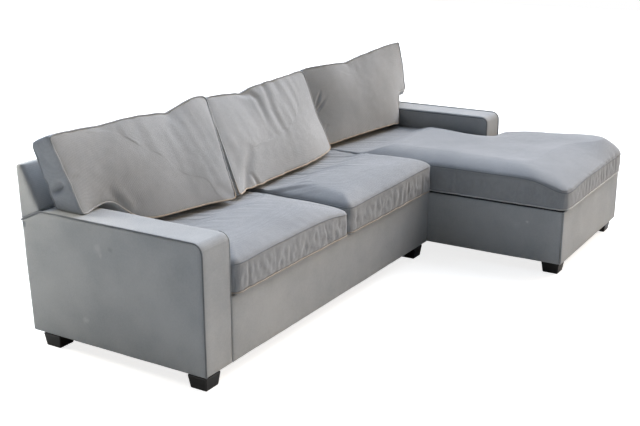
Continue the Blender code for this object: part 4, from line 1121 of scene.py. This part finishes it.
def woven_deck(part):
    """A woven sheet pulled tight between the tubes"""
    node = f"{part}_deck"
    low, high = box_corners(node)
    size = high - low
    thinner = Vector((0, 0, 0.2 * size.z))
    shape = block(low + thinner, high - thinner)
    cut_grid(shape, 0.03)
    piece = mesh_object(node + "_cloth", shape, WEBBING, False)
    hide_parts(node)
    finish_piece(piece, f"{part}_section")


def flat_cloth(name, node, material):
    """A stapled sheet under or over the chaise's ring of boards, in the place of its solid"""
    shape = bmesh.new()
    shape.from_mesh(frame["nodes"][node].data)
    bmesh.ops.remove_doubles(shape, verts=shape.verts, dist=1e-5)
    bmesh.ops.dissolve_limit(shape, angle_limit=0.01, verts=shape.verts, edges=shape.edges)
    cut_grid(shape, 0.04)
    area = sum(face.calc_area() for face in shape.faces if face.normal.z > 0.9)
    piece = mesh_object(name, shape, material, False)
    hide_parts(node)
    finish_piece(piece, "sofa_base")


def dress_bed():
    for part in ("head", "body", "foot"):
        quilted_mattress(part)
        woven_deck(part)
    flat_cloth("chaise_deck_cloth", "chaise_deck", WEBBING)
    flat_cloth("chaise_dust_cloth", "chaise_dust_cover", DUST_CLOTH)


def dress_rigid_nodes():
    """Materials of the nodes that stay as the CAD has them"""
    for name, node in frame["nodes"].items():
        if "_foot_" in name and name.split("_")[0] in ("sleeper", "chaise"):
            material = FOOT_LACQUER
        elif "clip" in name:
            material = ZINC
        elif name in ("chaise_frame", "front_rail_board") or name.endswith(("arm_frame", "back_frame")):
            material = TIMBER
        elif name.endswith(("_frame", "_bar", "channel")) or "_leg_" in name or "_link_" in name:
            material = COATED_STEEL
        else:
            continue
        node.data.materials.clear()
        node.data.materials.append(material)


# Camera, light and floor

def place_camera():
    """The photograph's camera, solved from the straight edges of arms, backs and base"""
    yaw, pitch, roll = -1.0214, 0.2957, -0.0023
    forward = Vector((-math.sin(yaw) * math.cos(pitch), math.cos(yaw) * math.cos(pitch), -math.sin(pitch)))
    right = forward.cross(Vector((0, 0, 1))).normalized()
    up = right.cross(forward)
    turned_right = right * math.cos(roll) + up * math.sin(roll)
    turned_up = -right * math.sin(roll) + up * math.cos(roll)
    lens = bpy.data.cameras.new("photo_lens")
    lens.lens = 56.99
    lens.sensor_width = 36
    camera = bpy.data.objects.new("photo_camera", lens)
    bpy.context.scene.collection.objects.link(camera)
    turn = Matrix((turned_right, turned_up, -forward)).transposed().to_4x4()
    camera.matrix_world = Matrix.Translation((-4.2687, -2.3331, 1.8173)) @ turn
    bpy.context.scene.camera = camera


def new_lamp(name, kind, power, colour):
    lamp = bpy.data.lights.new(name, kind)
    lamp.energy = power
    lamp.color = hex_colour(colour)[:3]
    made = bpy.data.objects.new(name, lamp)
    bpy.context.scene.collection.objects.link(made)
    return made


def area_light(name, where, target, width, power, colour):
    """A square panel of light, turned to a target"""
    made = new_lamp(name, "AREA", power, colour)
    made.data.size = width
    made.location = where
    made.rotation_euler = (Vector(target) - Vector(where)).to_track_quat("-Z", "Y").to_euler()
    return made


def wide_light(name, towards, power, colour):
    """Light from a broad part of the sky, 60 degrees wide, given by the direction it comes from"""
    made = new_lamp(name, "SUN", power, colour)
    made.data.angle = math.radians(60)
    made.rotation_euler = Vector(towards).to_track_quat("Z", "Y").to_euler()


def keep_off(lamp, pieces):
    """Pieces that a lamp leaves in the shade, as a flag beside it would"""
    group = bpy.data.collections.new(f"{lamp.name}_flag")
    for piece in pieces:
        group.objects.link(piece)
    for entry in group.collection_objects:
        entry.light_linking.link_state = "EXCLUDE"
    lamp.light_linking.receiver_collection = group


def light_scene():
    wide_light("open_sky", (1, 0, 1), 3.31, "#D4E6FF")
    wide_light("low_sky", (1, 0, 0.5), 1.92, "#FFECD4")
    wide_light("warm_bounce", (0.7, -0.7, 0.6), 0.93, "#FFDDB0")
    wide_light("rear_sky", (0, 1, 1), 0.98, "#D4E6FF")
    area_light("front_right_panel", (3.0, -3.0, 1.8), (1.0, -0.8, 0.3), 1.2, 11, "#FFE0B0")
    rear_left = area_light("rear_left_panel", (-1.80, 1.45, 1.15), (-1.46, 0.45, 0.55), 0.5, 11, "#FFF6E6")
    keep_off(rear_left, [piece for piece in bpy.data.objects if piece.name.startswith("back_cushion_left")])
    world = bpy.data.worlds.new("studio")
    world.use_nodes = True
    tree = world.node_tree
    tree.nodes.clear()
    path = add_node(tree, "ShaderNodeLightPath")
    seen = add_node(tree, "ShaderNodeMath", {0: path.outputs["Is Camera Ray"],
                                             1: path.outputs["Is Glossy Ray"]}, operation="MAXIMUM")
    seen = add_node(tree, "ShaderNodeMath", {0: seen.outputs[0],
                                             1: path.outputs["Is Transmission Ray"]}, operation="MAXIMUM")
    ambient = add_node(tree, "ShaderNodeBackground", {"Color": hex_colour("#E3ECFA"), "Strength": 0.02})
    white = add_node(tree, "ShaderNodeBackground", {"Color": (1, 1, 1, 1), "Strength": 1.0})
    mixed = add_node(tree, "ShaderNodeMixShader", {0: seen.outputs[0], 1: ambient.outputs[0],
                                                   2: white.outputs[0]})
    output = add_node(tree, "ShaderNodeOutputWorld")
    tree.links.new(mixed.outputs[0], output.inputs["Surface"])
    bpy.context.scene.world = world


def lay_floor():
    """A plain pale floor that shows white where no shadow falls"""
    shape = bmesh.new()
    bmesh.ops.create_grid(shape, x_segments=4, y_segments=4, size=14)
    made, tree, shader = new_material("pale_floor")
    shader.inputs["Base Color"].default_value = hex_colour("#D2D2D0")
    shader.inputs["Roughness"].default_value = 0.9
    shader.inputs["Emission Color"].default_value = (1, 1, 1, 1)
    path = add_node(tree, "ShaderNodeLightPath")
    strength = add_node(tree, "ShaderNodeMath", {0: path.outputs["Is Camera Ray"], 1: 0.80},
                        operation="MULTIPLY")
    tree.links.new(strength.outputs[0], shader.inputs["Emission Strength"])
    floor = mesh_object("pale_floor", shape, made, False)


def set_view():
    bpy.context.scene.view_settings.view_transform = "Standard"


# The whole sofa


place_camera()
lay_floor()
set_view()
dress_rigid_nodes()
dress_frames()
dress_base()
dress_cushions()
dress_bed()
light_scene()
